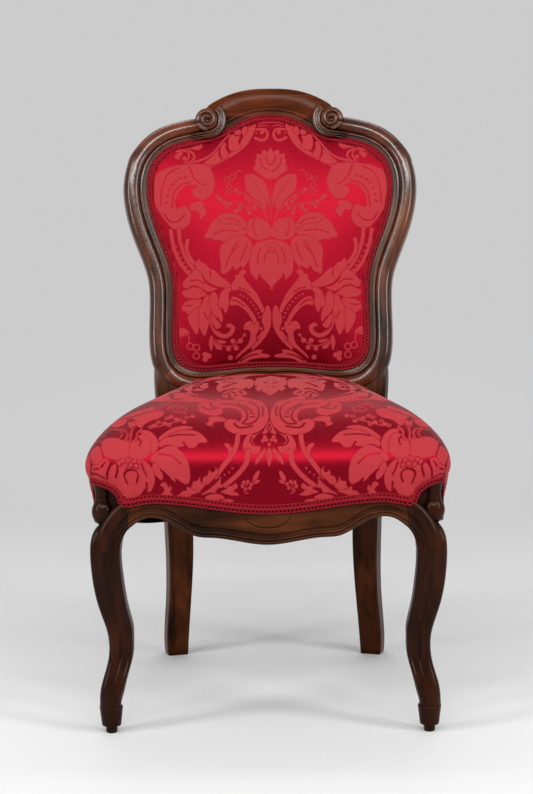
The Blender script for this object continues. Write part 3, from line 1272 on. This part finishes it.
# %% Figure of the seat: peony at each side
side_petals = [
    [(160, 425), (153, 421), (146, 417), (140, 414), (130, 410.5), (122, 408.3), (115.5, 406.3),
     (114.3, 410), (110, 410.3), (105.5, 411.5), (106, 415), (111, 418.5), (118, 420.5), (124, 424),
     (128.5, 428), (132.5, 425), (134.5, 419.5), (141, 419), (144, 424), (150, 427), (156, 427.5)],
    [(140.5, 420.5), (141, 424), (139, 429), (136, 429.5), (133.5, 424.5), (134.5, 420.5), (137.3, 423)],
    [(110, 437.5), (104, 432.5), (96, 428), (87, 426), (78, 427), (76, 428.5), (84, 429.5), (93, 431.5),
     (102, 436), (109, 441)],
    [(109.5, 442), (102, 436.5), (93, 432), (84, 430.2), (75, 430.7), (67.5, 434.5), (61.8, 442),
     (70, 443), (74, 447), (80, 447.7), (84.5, 446), (92, 447), (101, 444.5), (109, 447)],
    [(170, 446), (176, 449), (179.5, 455), (180.5, 463), (178, 470), (172, 473), (168.5, 466), (167, 458)],
    [(117, 456), (108, 449), (100, 446), (92, 448.5), (86, 454), (81.5, 461), (79.3, 470), (79.3, 480),
     (82.5, 484.3), (88, 482), (94, 477.5), (93, 482), (97, 480), (104, 473), (109, 468), (113, 465),
     (118, 461)],
    [(114, 462), (108.5, 470), (106, 476), (107.5, 480.3), (113, 476), (117, 469)],
    [(170, 463), (166, 459), (160, 461.5), (161.5, 470), (162.5, 478), (168, 476.5), (172, 472)],
    [(162, 479), (161, 470), (157, 463), (150, 459.5), (138, 458), (127, 460), (119, 466), (115, 475),
     (114.7, 484), (118.5, 491.3), (122.3, 491.5), (124.5, 488.5), (128, 493.8), (135, 498), (141, 498),
     (147, 494.5), (154, 489), (159, 484)],
    [(131, 431.5), (125, 430), (119.5, 431.5), (115, 434.5), (112.3, 439), (111, 445), (113, 451),
     (117.5, 453.5), (119, 446), (119.5, 440), (122, 435.5), (127, 433.5)],
    [(168, 446), (167, 441), (160, 438), (153, 438), (147, 440), (143, 438.5), (139.6, 443),
     (139.6, 455), (147, 459.5), (157, 459), (165, 455)],
    [(138.8, 455), (138.8, 445), (135.4, 439.4), (132, 436.5), (126, 434), (121.5, 436.5), (119.3, 441),
     (118.7, 448), (121, 455), (128, 459.5), (134, 459.5)],
]
side_lines = [
    [(148, 419.7), (135, 416.5), (125, 413), (115, 411)],
    [(100, 436.5), (90, 434.6), (74, 435.2)],
    [(86, 442), (82, 447.3)],
    [(108.5, 470), (100, 477)],
    [(176, 458), (176.3, 466), (174, 472)],
    [(168, 467.5), (163.7, 462)],
    [(162, 478), (161, 470), (157.5, 464.5), (153, 463), (151.5, 470), (153.5, 478)],
    [(141.5, 484), (145, 476), (143, 471.5), (138, 470), (133, 471.5), (131, 476), (133, 483)],
    [(127, 464), (125.5, 470), (122.5, 476)],
    [(122.5, 482.5), (122.2, 490)],
    [(110, 454), (98, 456), (88, 464)],
    [(131, 437.5), (128.5, 441.5), (130, 446)],
]
side_tendrils = [
    [(139, 442), (138, 434), (136.5, 428)],
    [(133.5, 441), (132, 433.5), (127, 428.5)],
    [(143.5, 440), (142, 434), (146, 429.8), (152, 429)],
    [(176, 441.5), (170, 437.7), (164, 436.3)],
    [(177.5, 446), (173, 442.8), (167.5, 441.5)],
    [(166, 434.3), (162, 430.5), (156, 429.5), (150, 430.5), (147, 434), (149, 437.5)],
    [(102, 409), (97, 406.2), (91, 405.5), (87.5, 408)],
    [(96.5, 411), (90, 412.5), (85, 411), (82.3, 407.7)],
    [(92, 408.7), (86, 406.8), (83, 409), (85, 414)],
    [(112, 427), (100, 423.5), (88, 420.5)],
]
stamens = [(150.5, 463.3), (147, 460.8), (141.2, 460.4), (134.8, 461.4), (129.6, 461.8), (144.3, 465.8),
           (138.6, 465), (132.8, 466.3)]
seat_berries = [(118.5, 427), (114.5, 425.5), (111, 422.5), (104.8, 423.3), (100, 425.3), (98, 416.8),
                (102.5, 418.5), (93, 419), (88.4, 420), (84.8, 422), (82.5, 417.6), (76.8, 416.5)]
seat_figure.petals(side_petals)
seat_figure.cuts(side_lines, start=1.0, end=0.8)
seat_figure.stems(side_tendrils, start=1.2, end=1.1)
for centre in stamens:
    seat_figure.holes([centre], radius=3.6)
    seat_figure.dots([centre], radius=2.7)
seat_figure.dots(seat_berries, radius=3.6)
seat_figure.holes(seat_berries[::2], radius=1.0)
print("seat figure covers", round(float((seat_figure.distance < 0).mean()), 3))

# %% [markdown]
# ## Damask cloth
# The ground of a damask is satin, which is dark until it catches a light. The figure is woven matte,
# so that it keeps one colour. The figure's distance decides between the two at every point.

# %% Cloth materials
FIGURE_EDGE = 0.55
SLUB_SCALE = (120.0, 300.0, 900.0)
GROUND_COLOURS = [(0.3, (0.160, 0.0004, 0.006)), (0.7, (0.222, 0.0008, 0.010))]
FIGURE_COLOURS = [(0.3, (0.30, 0.018, 0.024)), (0.7, (0.355, 0.025, 0.032))]
GROUND_AND_FIGURE = [
    ("Roughness", 0.44, 0.75), ("Metallic", 0.88, 0.0), ("Sheen Weight", 0.0, 0.15),
    ("Coat Weight", 0.05, 0.0),
]


def make_damask(name):
    """Satin ground and matte figure, told apart by the figure's distance at each point."""
    material, tree, shader = new_material(name)
    links = tree.links
    figure = add_node(tree, "ShaderNodeAttribute", attribute_name="figure")
    edge = add_node(tree, "ShaderNodeMapRange", From_Min=FIGURE_EDGE, From_Max=-FIGURE_EDGE)
    links.new(figure.outputs["Fac"], edge.inputs["Value"])
    coords = tree.nodes.new("ShaderNodeTexCoord")
    slub_scale = add_node(tree, "ShaderNodeMapping", Scale=SLUB_SCALE)
    links.new(coords.outputs["Object"], slub_scale.inputs["Vector"])
    slub = add_node(tree, "ShaderNodeTexNoise", Scale=1.0, Detail=3.0, Roughness=0.6)
    links.new(slub_scale.outputs[0], slub.inputs["Vector"])
    ground = colour_ramp(tree, GROUND_COLOURS)
    motif = colour_ramp(tree, FIGURE_COLOURS)
    for ramp in (ground, motif):
        links.new(slub.outputs["Fac"], ramp.inputs[0])
    colour = add_node(tree, "ShaderNodeMix", data_type="RGBA")
    links.new(edge.outputs[0], colour.inputs["Factor"])
    links.new(ground.outputs[0], colour.inputs[6])
    links.new(motif.outputs[0], colour.inputs[7])
    links.new(colour.outputs[2], shader.inputs["Base Color"])
    for socket, low, high in GROUND_AND_FIGURE:
        level = add_node(tree, "ShaderNodeMapRange", To_Min=low, To_Max=high)
        links.new(edge.outputs[0], level.inputs["Value"])
        links.new(level.outputs[0], shader.inputs[socket])
    shader.inputs["Sheen Tint"].default_value = (1.0, 0.45, 0.45, 1.0)
    shader.inputs["Specular IOR Level"].default_value = 0.1
    shader.inputs["Coat Roughness"].default_value = 0.42
    rise = add_node(tree, "ShaderNodeMath", operation="MULTIPLY_ADD")
    links.new(slub.outputs["Fac"], rise.inputs[0])
    rise.inputs[1].default_value = 0.5
    links.new(edge.outputs[0], rise.inputs[2])
    bump = add_node(tree, "ShaderNodeBump", Strength=0.25, Distance=0.0005)
    links.new(rise.outputs[0], bump.inputs["Height"])
    links.new(bump.outputs[0], shader.inputs["Normal"])
    return material


def make_woven(name, dark, light, threads, roughness=0.85):
    """Cloth in two tones, for braid, jute, webbing and lining."""
    material, tree, shader = new_material(name)
    links = tree.links
    coords = tree.nodes.new("ShaderNodeTexCoord")
    noise = add_node(tree, "ShaderNodeTexNoise", Scale=threads, Detail=4.0, Roughness=0.65)
    links.new(coords.outputs["Object"], noise.inputs["Vector"])
    ramp = colour_ramp(tree, [(0.32, dark), (0.68, light)])
    links.new(noise.outputs["Fac"], ramp.inputs[0])
    links.new(ramp.outputs[0], shader.inputs["Base Color"])
    shader.inputs["Roughness"].default_value = roughness
    shader.inputs["Specular IOR Level"].default_value = 0.15
    bump = add_node(tree, "ShaderNodeBump", Strength=0.3, Distance=0.0005)
    links.new(noise.outputs["Fac"], bump.inputs["Height"])
    links.new(bump.outputs[0], shader.inputs["Normal"])
    return material


damask = make_damask("damask")
braid = make_woven("braid", (0.09, 0.0006, 0.004), (0.27, 0.003, 0.010), 900, 0.7)
lining = make_woven("lining", (0.004, 0.004, 0.005), (0.012, 0.012, 0.014), 700)
print("cloth materials made")

# %% [markdown]
# ## Cushions
# The seat is a closed form: the cloth outside, an inner wall that clears the rails, and a hollow for
# the springs. The back pad is its front alone, since the frame and the panel behind hide the rest.

# %% Seat cushion
def set_figure(thing, values):
    """Store the figure's distance on the points of a mesh."""
    attribute = thing.data.attributes.new("figure", "FLOAT", "POINT")
    attribute.data.foreach_set("value", np.asarray(values, np.float32))


def dress(thing, material):
    """Give a soft piece its material and slot, and let it ride on the chair."""
    thing.data.materials.append(material)
    thing.data.shade_smooth()
    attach(thing, "root")


RAIL_CLEAR_Z = 388.6
SPRING_CLEAR_Z = 438.0
INNER_EDGE_OFFSET = 0.4
INNER_STEPS = ((-10.5, RAIL_CLEAR_Z), (-38.5, SPRING_CLEAR_Z))
INNER_SHARE = 0.01
PLAIN_GROUND = 10.0


def seat_underside():
    """Levels of the inside of the seat, from the lower edge up over the rails and the springs."""
    lower = seat_plan(INNER_EDGE_OFFSET, 1.0, 0.0, EDGE_CORNER)
    low = braid_low_z(lower[:, 0], lower[:, 1]) + COVER_LIFT
    levels = [np.c_[lower, low], np.c_[lower, np.full(len(lower), RAIL_CLEAR_Z)]]
    for offset, z in INNER_STEPS:
        plan = seat_plan(offset, 1.0, 0.0, EDGE_CORNER)
        levels.append(np.c_[plan, np.full(len(plan), z)])
    middle = np.array([0.0, SEAT_MIDDLE_Y, SPRING_CLEAR_Z])
    levels.append(middle + INNER_SHARE * (levels[-1] - middle))
    return clear_rear_legs(np.array(levels))


def make_seat():
    """Closed seat cushion, from the hollow inside round the edge to the crown."""
    inside = seat_underside()[::-1]
    grid = np.concatenate([inside, seat])
    levels, around = grid.shape[:2]
    faces = ring_faces(levels, around)
    faces.append(tuple(range(around))[::-1])
    faces.append(tuple((levels - 1) * around + i for i in range(around)))
    cushion = make_mesh("seat_cushion", grid.reshape(-1, 3), faces)
    hidden = np.full(len(inside) * around, PLAIN_GROUND)
    set_figure(cushion, np.concatenate([hidden, seat_figure.distance]))
    return cushion


seat_cushion = make_seat()
dress(seat_cushion, damask)
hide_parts("seat_cover", "seat_stuffing")
print(seat_cushion.name, len(seat_cushion.data.polygons), "faces")

# %% Back pad
FRONT_ORDER = (0, 1, 2, 3)
REAR_ORDER = (0, 3, 2, 1)


def kept_faces(keep, order):
    """Quads between the kept points of a square grid, with their corners taken in the given order."""
    index = np.full(keep.shape, -1)
    index[keep] = np.arange(keep.sum())
    corners = [index[:-1, :-1], index[:-1, 1:], index[1:, 1:], index[1:, :-1]]
    quads = np.stack([corners[place] for place in order], axis=-1).reshape(-1, 4)
    return [tuple(int(i) for i in quad) for quad in quads[(quads >= 0).all(axis=1)]]


def make_back():
    """Front of the back pad."""
    pad = make_mesh("back_pad", back[back_keep], kept_faces(back_keep, FRONT_ORDER))
    set_figure(pad, back_figure.distance.reshape(back_keep.shape)[back_keep])
    return pad


back_pad = make_back()
dress(back_pad, damask)
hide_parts("back_cover", "back_stuffing")
print(back_pad.name, len(back_pad.data.polygons), "faces")

# %% [markdown]
# ## Braid
# Gimp is a narrow woven braid that hides the tacks. One unit is two loops and two slanted beads of the
# middle cord. A node tree repeats the unit along a line on the cushion's edge.

# %% Pieces of the braid's unit
LOOP_SHAPE = (1.1, 1.0, 1.0)
LOOP_LEAD = 0.25
BEAD_PLACES = (-0.25, 0.25)
BEAD_LIFT = 0.9 * MM
BEAD_SLANT = math.radians(38)
BEAD_SHAPE = (2.4, 1.35, 1.3)


def multiply(tree, socket, factor):
    """Socket that gives another one times a factor."""
    product = add_node(tree, "ShaderNodeMath", operation="MULTIPLY")
    product.inputs[1].default_value = factor
    tree.links.new(socket, product.inputs[0])
    return product.outputs[0]


def add_to_unit(tree, unit, piece, across, **placing):
    """Move one piece into its place in the braid's unit; across gives the sockets of its shift."""
    shift = tree.nodes.new("ShaderNodeCombineXYZ")
    shift.inputs["Z"].default_value = placing.pop("lift")
    for name, socket in across.items():
        tree.links.new(socket, shift.inputs[name])
    moved = add_node(tree, "GeometryNodeTransform", **placing)
    tree.links.new(piece.outputs[0], moved.inputs["Geometry"])
    tree.links.new(shift.outputs[0], moved.inputs["Translation"])
    tree.links.new(moved.outputs[0], unit.inputs[0])


print("braid unit of 2 loops and", len(BEAD_PLACES), "beads")


# %% Braid node tree
def make_braid_tree():
    """Node tree that turns a line with outward directions into braid."""
    tree = bpy.data.node_groups.new("braid", "GeometryNodeTree")
    sockets = tree.interface
    sockets.new_socket("Geometry", in_out="INPUT", socket_type="NodeSocketGeometry")
    for name in ("Pitch", "Loop", "Spread", "Thread"):
        sockets.new_socket(name, in_out="INPUT", socket_type="NodeSocketFloat")
    sockets.new_socket("Material", in_out="INPUT", socket_type="NodeSocketMaterial")
    sockets.new_socket("Geometry", in_out="OUTPUT", socket_type="NodeSocketGeometry")
    links = tree.links
    given = tree.nodes.new("NodeGroupInput")
    result = tree.nodes.new("NodeGroupOutput")
    curve = tree.nodes.new("GeometryNodeMeshToCurve")
    links.new(given.outputs["Geometry"], curve.inputs[0])
    spaced = tree.nodes.new("GeometryNodeResampleCurve")
    spaced.mode = "LENGTH"
    links.new(curve.outputs[0], spaced.inputs["Curve"])
    links.new(given.outputs["Pitch"], spaced.inputs["Length"])
    tangent = tree.nodes.new("GeometryNodeInputTangent")
    facing = tree.nodes.new("GeometryNodeInputNamedAttribute")
    facing.data_type = "FLOAT_VECTOR"
    facing.inputs["Name"].default_value = "facing"
    turn = tree.nodes.new("FunctionNodeAlignRotationToVector")
    turn.axis = "X"
    links.new(tangent.outputs[0], turn.inputs["Vector"])
    face = tree.nodes.new("FunctionNodeAlignRotationToVector")
    face.axis = "Z"
    face.pivot_axis = "X"
    links.new(turn.outputs[0], face.inputs["Rotation"])
    links.new(facing.outputs[0], face.inputs["Vector"])
    ring = add_node(tree, "GeometryNodeCurvePrimitiveCircle", Resolution=10)
    links.new(given.outputs["Loop"], ring.inputs["Radius"])
    thread = add_node(tree, "GeometryNodeCurvePrimitiveCircle", Resolution=5)
    links.new(given.outputs["Thread"], thread.inputs["Radius"])
    loop = tree.nodes.new("GeometryNodeCurveToMesh")
    links.new(ring.outputs[0], loop.inputs["Curve"])
    links.new(thread.outputs[0], loop.inputs["Profile Curve"])
    unit = tree.nodes.new("GeometryNodeJoinGeometry")
    pitch, reach = given.outputs["Pitch"], given.outputs["Spread"]
    for side in (-1, 1):
        across = {"X": multiply(tree, pitch, LOOP_LEAD * side), "Y": multiply(tree, reach, side)}
        add_to_unit(tree, unit, loop, across, lift=0.0, Scale=LOOP_SHAPE)
    for half in BEAD_PLACES:
        bead = add_node(tree, "GeometryNodeMeshUVSphere", Segments=8, Rings=5)
        links.new(given.outputs["Thread"], bead.inputs["Radius"])
        across = {"X": multiply(tree, pitch, half)}
        add_to_unit(tree, unit, bead, across, lift=BEAD_LIFT, Rotation=(0, 0, BEAD_SLANT), Scale=BEAD_SHAPE)
    spread = tree.nodes.new("GeometryNodeInstanceOnPoints")
    links.new(spaced.outputs[0], spread.inputs["Points"])
    links.new(unit.outputs[0], spread.inputs["Instance"])
    links.new(face.outputs[0], spread.inputs["Rotation"])
    real = tree.nodes.new("GeometryNodeRealizeInstances")
    links.new(spread.outputs[0], real.inputs[0])
    smooth = tree.nodes.new("GeometryNodeSetShadeSmooth")
    links.new(real.outputs[0], smooth.inputs[0])
    paint = tree.nodes.new("GeometryNodeSetMaterial")
    links.new(smooth.outputs[0], paint.inputs["Geometry"])
    links.new(given.outputs["Material"], paint.inputs["Material"])
    links.new(paint.outputs[0], result.inputs[0])
    return tree


BRAID = {"Pitch": 5.6 * MM, "Loop": 2.7 * MM, "Spread": 3.6 * MM, "Thread": 1.4 * MM}
braid_tree = make_braid_tree()
print("braid tree of", len(braid_tree.nodes), "nodes")

# %% Braid of the seat
BRAID_LIFT = 1.4
EAR_TUCK = 3.4
EAR_START = 175.0
EAR_RUN = 30.0
SIDEWAYS = 0.9
BRAID_OFFSET = 2.8
BRAID_CORNER = 24.5
LEG_CLEARANCE = 4.0


def make_braid(name, lines, *nodes):
    """Braid along lines, each given as (points, directions that face outwards, closed)."""
    points, facing, edges = [], [], []
    for line, out, closed in lines:
        first = len(points)
        points += line.tolist()
        facing += out.tolist()
        edges += [(first + i, first + i + 1) for i in range(len(line) - 1)]
        if closed:
            edges.append((first + len(line) - 1, first))
    mesh = bpy.data.meshes.new(name + "_line")
    mesh.from_pydata((np.array(points) * MM).tolist(), edges, [])
    attribute = mesh.attributes.new("facing", "FLOAT_VECTOR", "POINT")
    attribute.data.foreach_set("vector", np.array(facing, np.float32).ravel())
    line_object = bpy.data.objects.new(name + "_line", mesh)
    bpy.context.scene.collection.objects.link(line_object)
    modifier = line_object.modifiers.new("braid", "NODES")
    modifier.node_group = braid_tree
    for socket in braid_tree.interface.items_tree:
        if socket.in_out == "INPUT" and socket.name in BRAID:
            modifier[socket.identifier] = BRAID[socket.name]
        if socket.in_out == "INPUT" and socket.name == "Material":
            modifier[socket.identifier] = braid
    graph = bpy.context.evaluated_depsgraph_get()
    made = bpy.data.meshes.new_from_object(line_object.evaluated_get(graph))
    thing = bpy.data.objects.new(name, made)
    bpy.context.scene.collection.objects.link(thing)
    bpy.data.objects.remove(line_object)
    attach(thing, "root")
    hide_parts(*nodes)
    return thing


def plan_normals(plan):
    """Level directions that point out of a closed plan."""
    ahead = np.roll(plan, -1, axis=0) - np.roll(plan, 1, axis=0)
    out = np.c_[ahead[:, 1], -ahead[:, 0], np.zeros(len(plan))]
    return out / np.linalg.norm(out, axis=1)[:, None]


seat_line = seat_plan(BRAID_OFFSET, 1.0, 0.0, BRAID_CORNER)
seat_out = plan_normals(seat_line)
seat_line = np.c_[seat_line, braid_low_z(seat_line[:, 0], seat_line[:, 1]) + 0.5 * GIMP_WIDTH]
behind_ear = ease((-seat_line[:, 1] - EAR_START) / EAR_RUN) * (np.abs(seat_out[:, 0]) > SIDEWAYS)
seat_line[:, :2] += (BRAID_LIFT - EAR_TUCK * behind_ear)[:, None] * seat_out[:, :2]
beside_leg = seat_line[:, 1] > REAR_LEG_FRONT_Y
between_legs = beside_leg & (np.abs(seat_line[:, 0]) < REAR_LEG_INSIDE_X - LEG_CLEARANCE)
half_count = len(seat_line) // 2
front_order = np.roll(np.arange(len(seat_line)), half_count)
front_run = [i for i in front_order if not beside_leg[i]]
rear_run = np.flatnonzero(between_legs)
seat_lines = [(seat_line[run], seat_out[run], False) for run in (front_run, rear_run)]
seat_gimp = make_braid("seat_gimp_braid", seat_lines, "seat_gimp")
print(seat_gimp.name, len(seat_gimp.data.polygons), "faces")

# %% Braid of the back
FRAME_CLEARANCE = 0.4
OUTSIDE_DEPTH = 21.0


def inset_sight(inset):
    """Edge of the pad, moved inwards."""
    ahead = np.roll(sight, -1, axis=0) - np.roll(sight, 1, axis=0)
    inward = np.c_[ahead[:, 1], -ahead[:, 0]]
    inward /= np.linalg.norm(inward, axis=1)[:, None]
    return sight + inset * inward


def back_line(depth, side):
    """Line of the braid on the front or the rear of the back, with its outward directions."""
    flat = inset_sight(0.5 * GIMP_WIDTH + FRAME_CLEARANCE)
    u, z = flat[:, 0], flat[:, 1]
    y = back_y(u, z) + depth / LEAN
    slope = u / np.sqrt(BACK_HOLLOW_RADIUS**2 - u**2)
    out = np.c_[-slope, -np.ones(len(u)), np.full(len(u), RECLINE_SLOPE)]
    out *= side / np.linalg.norm(out, axis=1)[:, None]
    return np.c_[u, y, z], out, True


back_gimp = make_braid("back_gimp_braid", [back_line(COVER_DEPTH - BRAID_LIFT, 1)], "back_gimp")
outside_line = back_line(OUTSIDE_DEPTH + BRAID_LIFT, -1)
outside_gimp = make_braid("outside_gimp_braid", [outside_line], "outside_back_gimp")
for gimp in (back_gimp, outside_gimp):
    print(gimp.name, len(gimp.data.polygons), "faces")

# %% [markdown]
# ## Sheets
# A black lining is tacked under the seat, slack at one front corner. The rear of the back is covered
# with the damask's plain ground, pulled almost flat.

# %% Lining
LINING_Z = 319.0
LINING_LEVELS = 24
LINING_OFFSET = -16.0
LINING_CORNER = 20.0
LINING_SAG = 5.0
SLACK_PLACE = (-175.0, -215.0)
SLACK_DEPTH = 11.0
SLACK_WIDTH = 55.0
POST_X = 198.0
POST_Y = -205.0


def make_lining():
    """Sagging lining, folded round the front posts and the rear legs."""
    levels = []
    for share in np.linspace(1, INNER_SHARE, LINING_LEVELS):
        plan = seat_plan(LINING_OFFSET, share, 0.0, LINING_CORNER)
        slack = np.hypot(plan[:, 0] - SLACK_PLACE[0], plan[:, 1] - SLACK_PLACE[1])
        sag = LINING_SAG * (1 - share**2) + SLACK_DEPTH * np.exp(-((slack / SLACK_WIDTH) ** 2))
        levels.append(np.c_[plan, LINING_Z - sag])
    grid = np.array(levels)
    x, y = grid[..., 0], grid[..., 1]
    post = (np.abs(x) > POST_X) & (y < POST_Y)
    nearer = np.abs(x) - POST_X < POST_Y - y
    grid[..., 0] = np.where(post & nearer, np.sign(x) * POST_X, x)
    grid[..., 1] = np.where(post & ~nearer, POST_Y, y)
    clear_rear_legs(grid)
    faces = ring_faces(*grid.shape[:2])
    return make_mesh("seat_lining", grid.reshape(-1, 3), faces)


seat_lining = make_lining()
dress(seat_lining, lining)
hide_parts("seat_dust_cover")
print(seat_lining.name, len(seat_lining.data.polygons), "faces")

# %% Outside back
PANEL_STEP = 6.0
PANEL_DEPTH = 20.5
PANEL_BULGE = 2.0
PANEL_EASE = 30.0
PANEL_GROUND = 5.0


def make_outside_back():
    """Panel that closes the rear of the back, a little full."""
    u, z, gap, keep = back_grid(PANEL_STEP, PAD_INSET)
    bulge = PANEL_BULGE * (1 - np.exp(-np.maximum(gap, 0) / PANEL_EASE))
    y = back_y(u, z) + PANEL_DEPTH / LEAN + bulge
    points = np.stack([u, y, z], axis=-1)[keep]
    return make_mesh("outside_back", points, kept_faces(keep, REAR_ORDER))


outside_back = make_outside_back()
set_figure(outside_back, np.full(len(outside_back.data.vertices), PANEL_GROUND))
dress(outside_back, damask)
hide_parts("outside_back_cover")
print(outside_back.name, len(outside_back.data.polygons), "faces")

# %% [markdown]
# ## Carved scrolls of the crest
# The CAD crest has a boss with a bead and one turn of the wrap. The carver's full roll and its reeds
# lie over them, on the same hollow and leaning plane.

# %% Roll and reeds
ROLL_START = 205.0
ROLL_TURNS = 1.6
ROLL_REACH = 15.6
ROLL_RADIUS = 4.3
ROLL_POINTS = 90
ROLL_WINDING = 0.78
ROLL_RISE = (2.0, 2.4)
ROLL_TAPER = 1.3
BULB_RADIUS = 1.9
BULB_START = 0.84
BULB_RUN = 0.1
REEDS = [(21.4, 3.3, 1.2), (25.2, 2.5, 1.8), (28.9, 4.75, -1.1)]  # reach, radius and height of each
REED_TOP = 52.0
REED_END = -82.0
REED_TAIL = 30.0
REED_POINTS = 40
TAIL_POINTS = 12
REED_SINK = 2.5
SINK_START = 0.7
SINK_RUN = 0.3
TUBE_SIDES = 14
OUTWARDS = np.array([0, 0, 1])


def round_ends(share, start_run, end_run, least):
    """Share of the full radius along a tube with rounded ends."""
    return np.sqrt(np.clip(np.minimum(share / start_run, (1 - share) / end_run), least, 1))


def tube(path, radii, sides=TUBE_SIDES):
    """Round tube along a path of (across, up, out) points, with faces that point outwards."""
    ahead = np.gradient(path, axis=0)
    ahead /= np.linalg.norm(ahead, axis=1)[:, None]
    beside = np.c_[-ahead[:, 1], ahead[:, 0], np.zeros(len(path))]
    angles = np.linspace(0, 2 * math.pi, sides, endpoint=False)
    points = []
    for centre, side, radius in zip(path, beside, radii):
        for angle in angles:
            points.append(centre + radius * (math.cos(angle) * side + math.sin(angle) * OUTWARDS))
    faces = []
    for row in range(len(path) - 1):
        for step in range(sides):
            turned = (step + 1) % sides
            faces.append((row * sides + step, row * sides + turned,
                          (row + 1) * sides + turned, (row + 1) * sides + step))
    faces.append(tuple(reversed(range(sides))))
    faces.append(tuple(range((len(path) - 1) * sides, len(path) * sides)))
    return points, faces


def roll_tube():
    """Roll that winds in from the shoulder and ends in a bulb."""
    share = np.linspace(0, 1, ROLL_POINTS)
    angle = np.radians(ROLL_START - 360 * ROLL_TURNS * share)
    reach = ROLL_REACH * (1 - ROLL_WINDING * share)
    path = np.c_[reach * np.cos(angle), reach * np.sin(angle), ROLL_RISE[0] + ROLL_RISE[1] * share]
    bulb = BULB_RADIUS * np.clip((share - BULB_START) / BULB_RUN, 0, 1)
    ends = round_ends(share, start_run=0.02, end_run=0.06, least=0.02)
    return tube(path, (ROLL_RADIUS - ROLL_TAPER * share + bulb) * ends)


def reed_tube(reach, radius, out):
    """Reed that wraps the roll and runs out along the frame."""
    angles = np.radians(np.linspace(REED_TOP, REED_END, REED_POINTS))
    bend = np.c_[reach * np.cos(angles), reach * np.sin(angles)]
    heading = np.array([math.sin(angles[-1]), -math.cos(angles[-1])])
    tail = bend[-1] + np.linspace(0, REED_TAIL, TAIL_POINTS)[1:, None] * heading
    path = np.vstack([bend, tail])
    share = np.linspace(0, 1, len(path))
    ends = round_ends(share, start_run=0.05, end_run=0.4, least=0.03)
    sink = REED_SINK * np.clip((share - SINK_START) / SINK_RUN, 0, 1)
    return tube(np.c_[path, out - sink], radius * ends)


print("roll", len(roll_tube()[0]), "points, with", len(REEDS), "reeds")

# %% Scroll at each end of the arch
VOLUTE_X = 103.5
VOLUTE_Z = 898.0


def make_scroll(name, hand):
    """Scroll at one end of the arch; hand is -1 for the left and +1 for the right."""
    slope = -hand * VOLUTE_X / math.sqrt(BACK_HOLLOW_RADIUS**2 - VOLUTE_X**2)
    front = np.array([slope, -1.0, RECLINE_SLOPE])
    front /= np.linalg.norm(front)
    across = np.array([1.0, slope, 0.0]) / math.hypot(1.0, slope)
    up = np.cross(front, across)
    centre = np.array([hand * VOLUTE_X, float(back_y(VOLUTE_X, VOLUTE_Z)), VOLUTE_Z])
    points, faces = [], []
    for piece_points, piece_faces in [roll_tube()] + [reed_tube(*reed) for reed in REEDS]:
        first = len(points)
        points += [centre - hand * p[0] * across + p[1] * up + p[2] * front for p in piece_points]
        faces += [tuple(first + i for i in (face if hand < 0 else face[::-1])) for face in piece_faces]
    thing = make_mesh(name, points, faces)
    thing.data.shade_smooth()
    thing.data.materials.append(wood_scroll)
    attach(thing, "root")
    return thing


for scroll_name, scroll_hand in (("crest_scroll_left", -1), ("crest_scroll_right", 1)):
    scroll = make_scroll(scroll_name, scroll_hand)
    print(scroll.name, len(scroll.data.polygons), "faces")

# %% [markdown]
# ## Materials of the CAD nodes
# The show-wood keeps its CAD shape. What the covers hide gets its own plain material.

# %% Dress the CAD nodes
def make_steel(name):
    """Dull steel for springs and screws."""
    material, tree, shader = new_material(name)
    coords = tree.nodes.new("ShaderNodeTexCoord")
    noise = add_node(tree, "ShaderNodeTexNoise", Scale=60.0, Detail=3.0)
    tree.links.new(coords.outputs["Object"], noise.inputs["Vector"])
    ramp = colour_ramp(tree, [(0.3, (0.30, 0.26, 0.22)), (0.7, (0.48, 0.45, 0.42))])
    tree.links.new(noise.outputs["Fac"], ramp.inputs[0])
    tree.links.new(ramp.outputs[0], shader.inputs["Base Color"])
    shader.inputs["Metallic"].default_value = 0.9
    shader.inputs["Roughness"].default_value = 0.4
    return material


steel = make_steel("steel")
beech = make_wood("beech", 0, (0.28, 0.17, 0.09), (0.48, 0.32, 0.19))
jute = make_woven("jute", (0.22, 0.15, 0.08), (0.42, 0.31, 0.18), 420)
webbing = make_woven("webbing", (0.30, 0.24, 0.15), (0.52, 0.44, 0.31), 600)
NODE_MATERIALS = [
    ("dowels", beech), ("screws", steel), ("springs", steel), ("webbing", webbing), ("hessian", jute),
    ("stuffing", jute), ("cover", lining), ("gimp", braid), ("corner_block", beech),
    ("rear_seat_rail", beech), ("peg", wood_dark), ("crest", wood_crest), ("lower_back", wood_crest),
    ("front_seat", wood_across), ("side_seat", wood_deep), ("rear_leg", wood_stile),
    ("front_leg", wood_leg),
]
for name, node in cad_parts.items():
    material = next(choice for key, choice in NODE_MATERIALS if key in name)
    node.data.materials.clear()
    node.data.materials.append(material)
print("dressed", len(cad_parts), "CAD nodes")
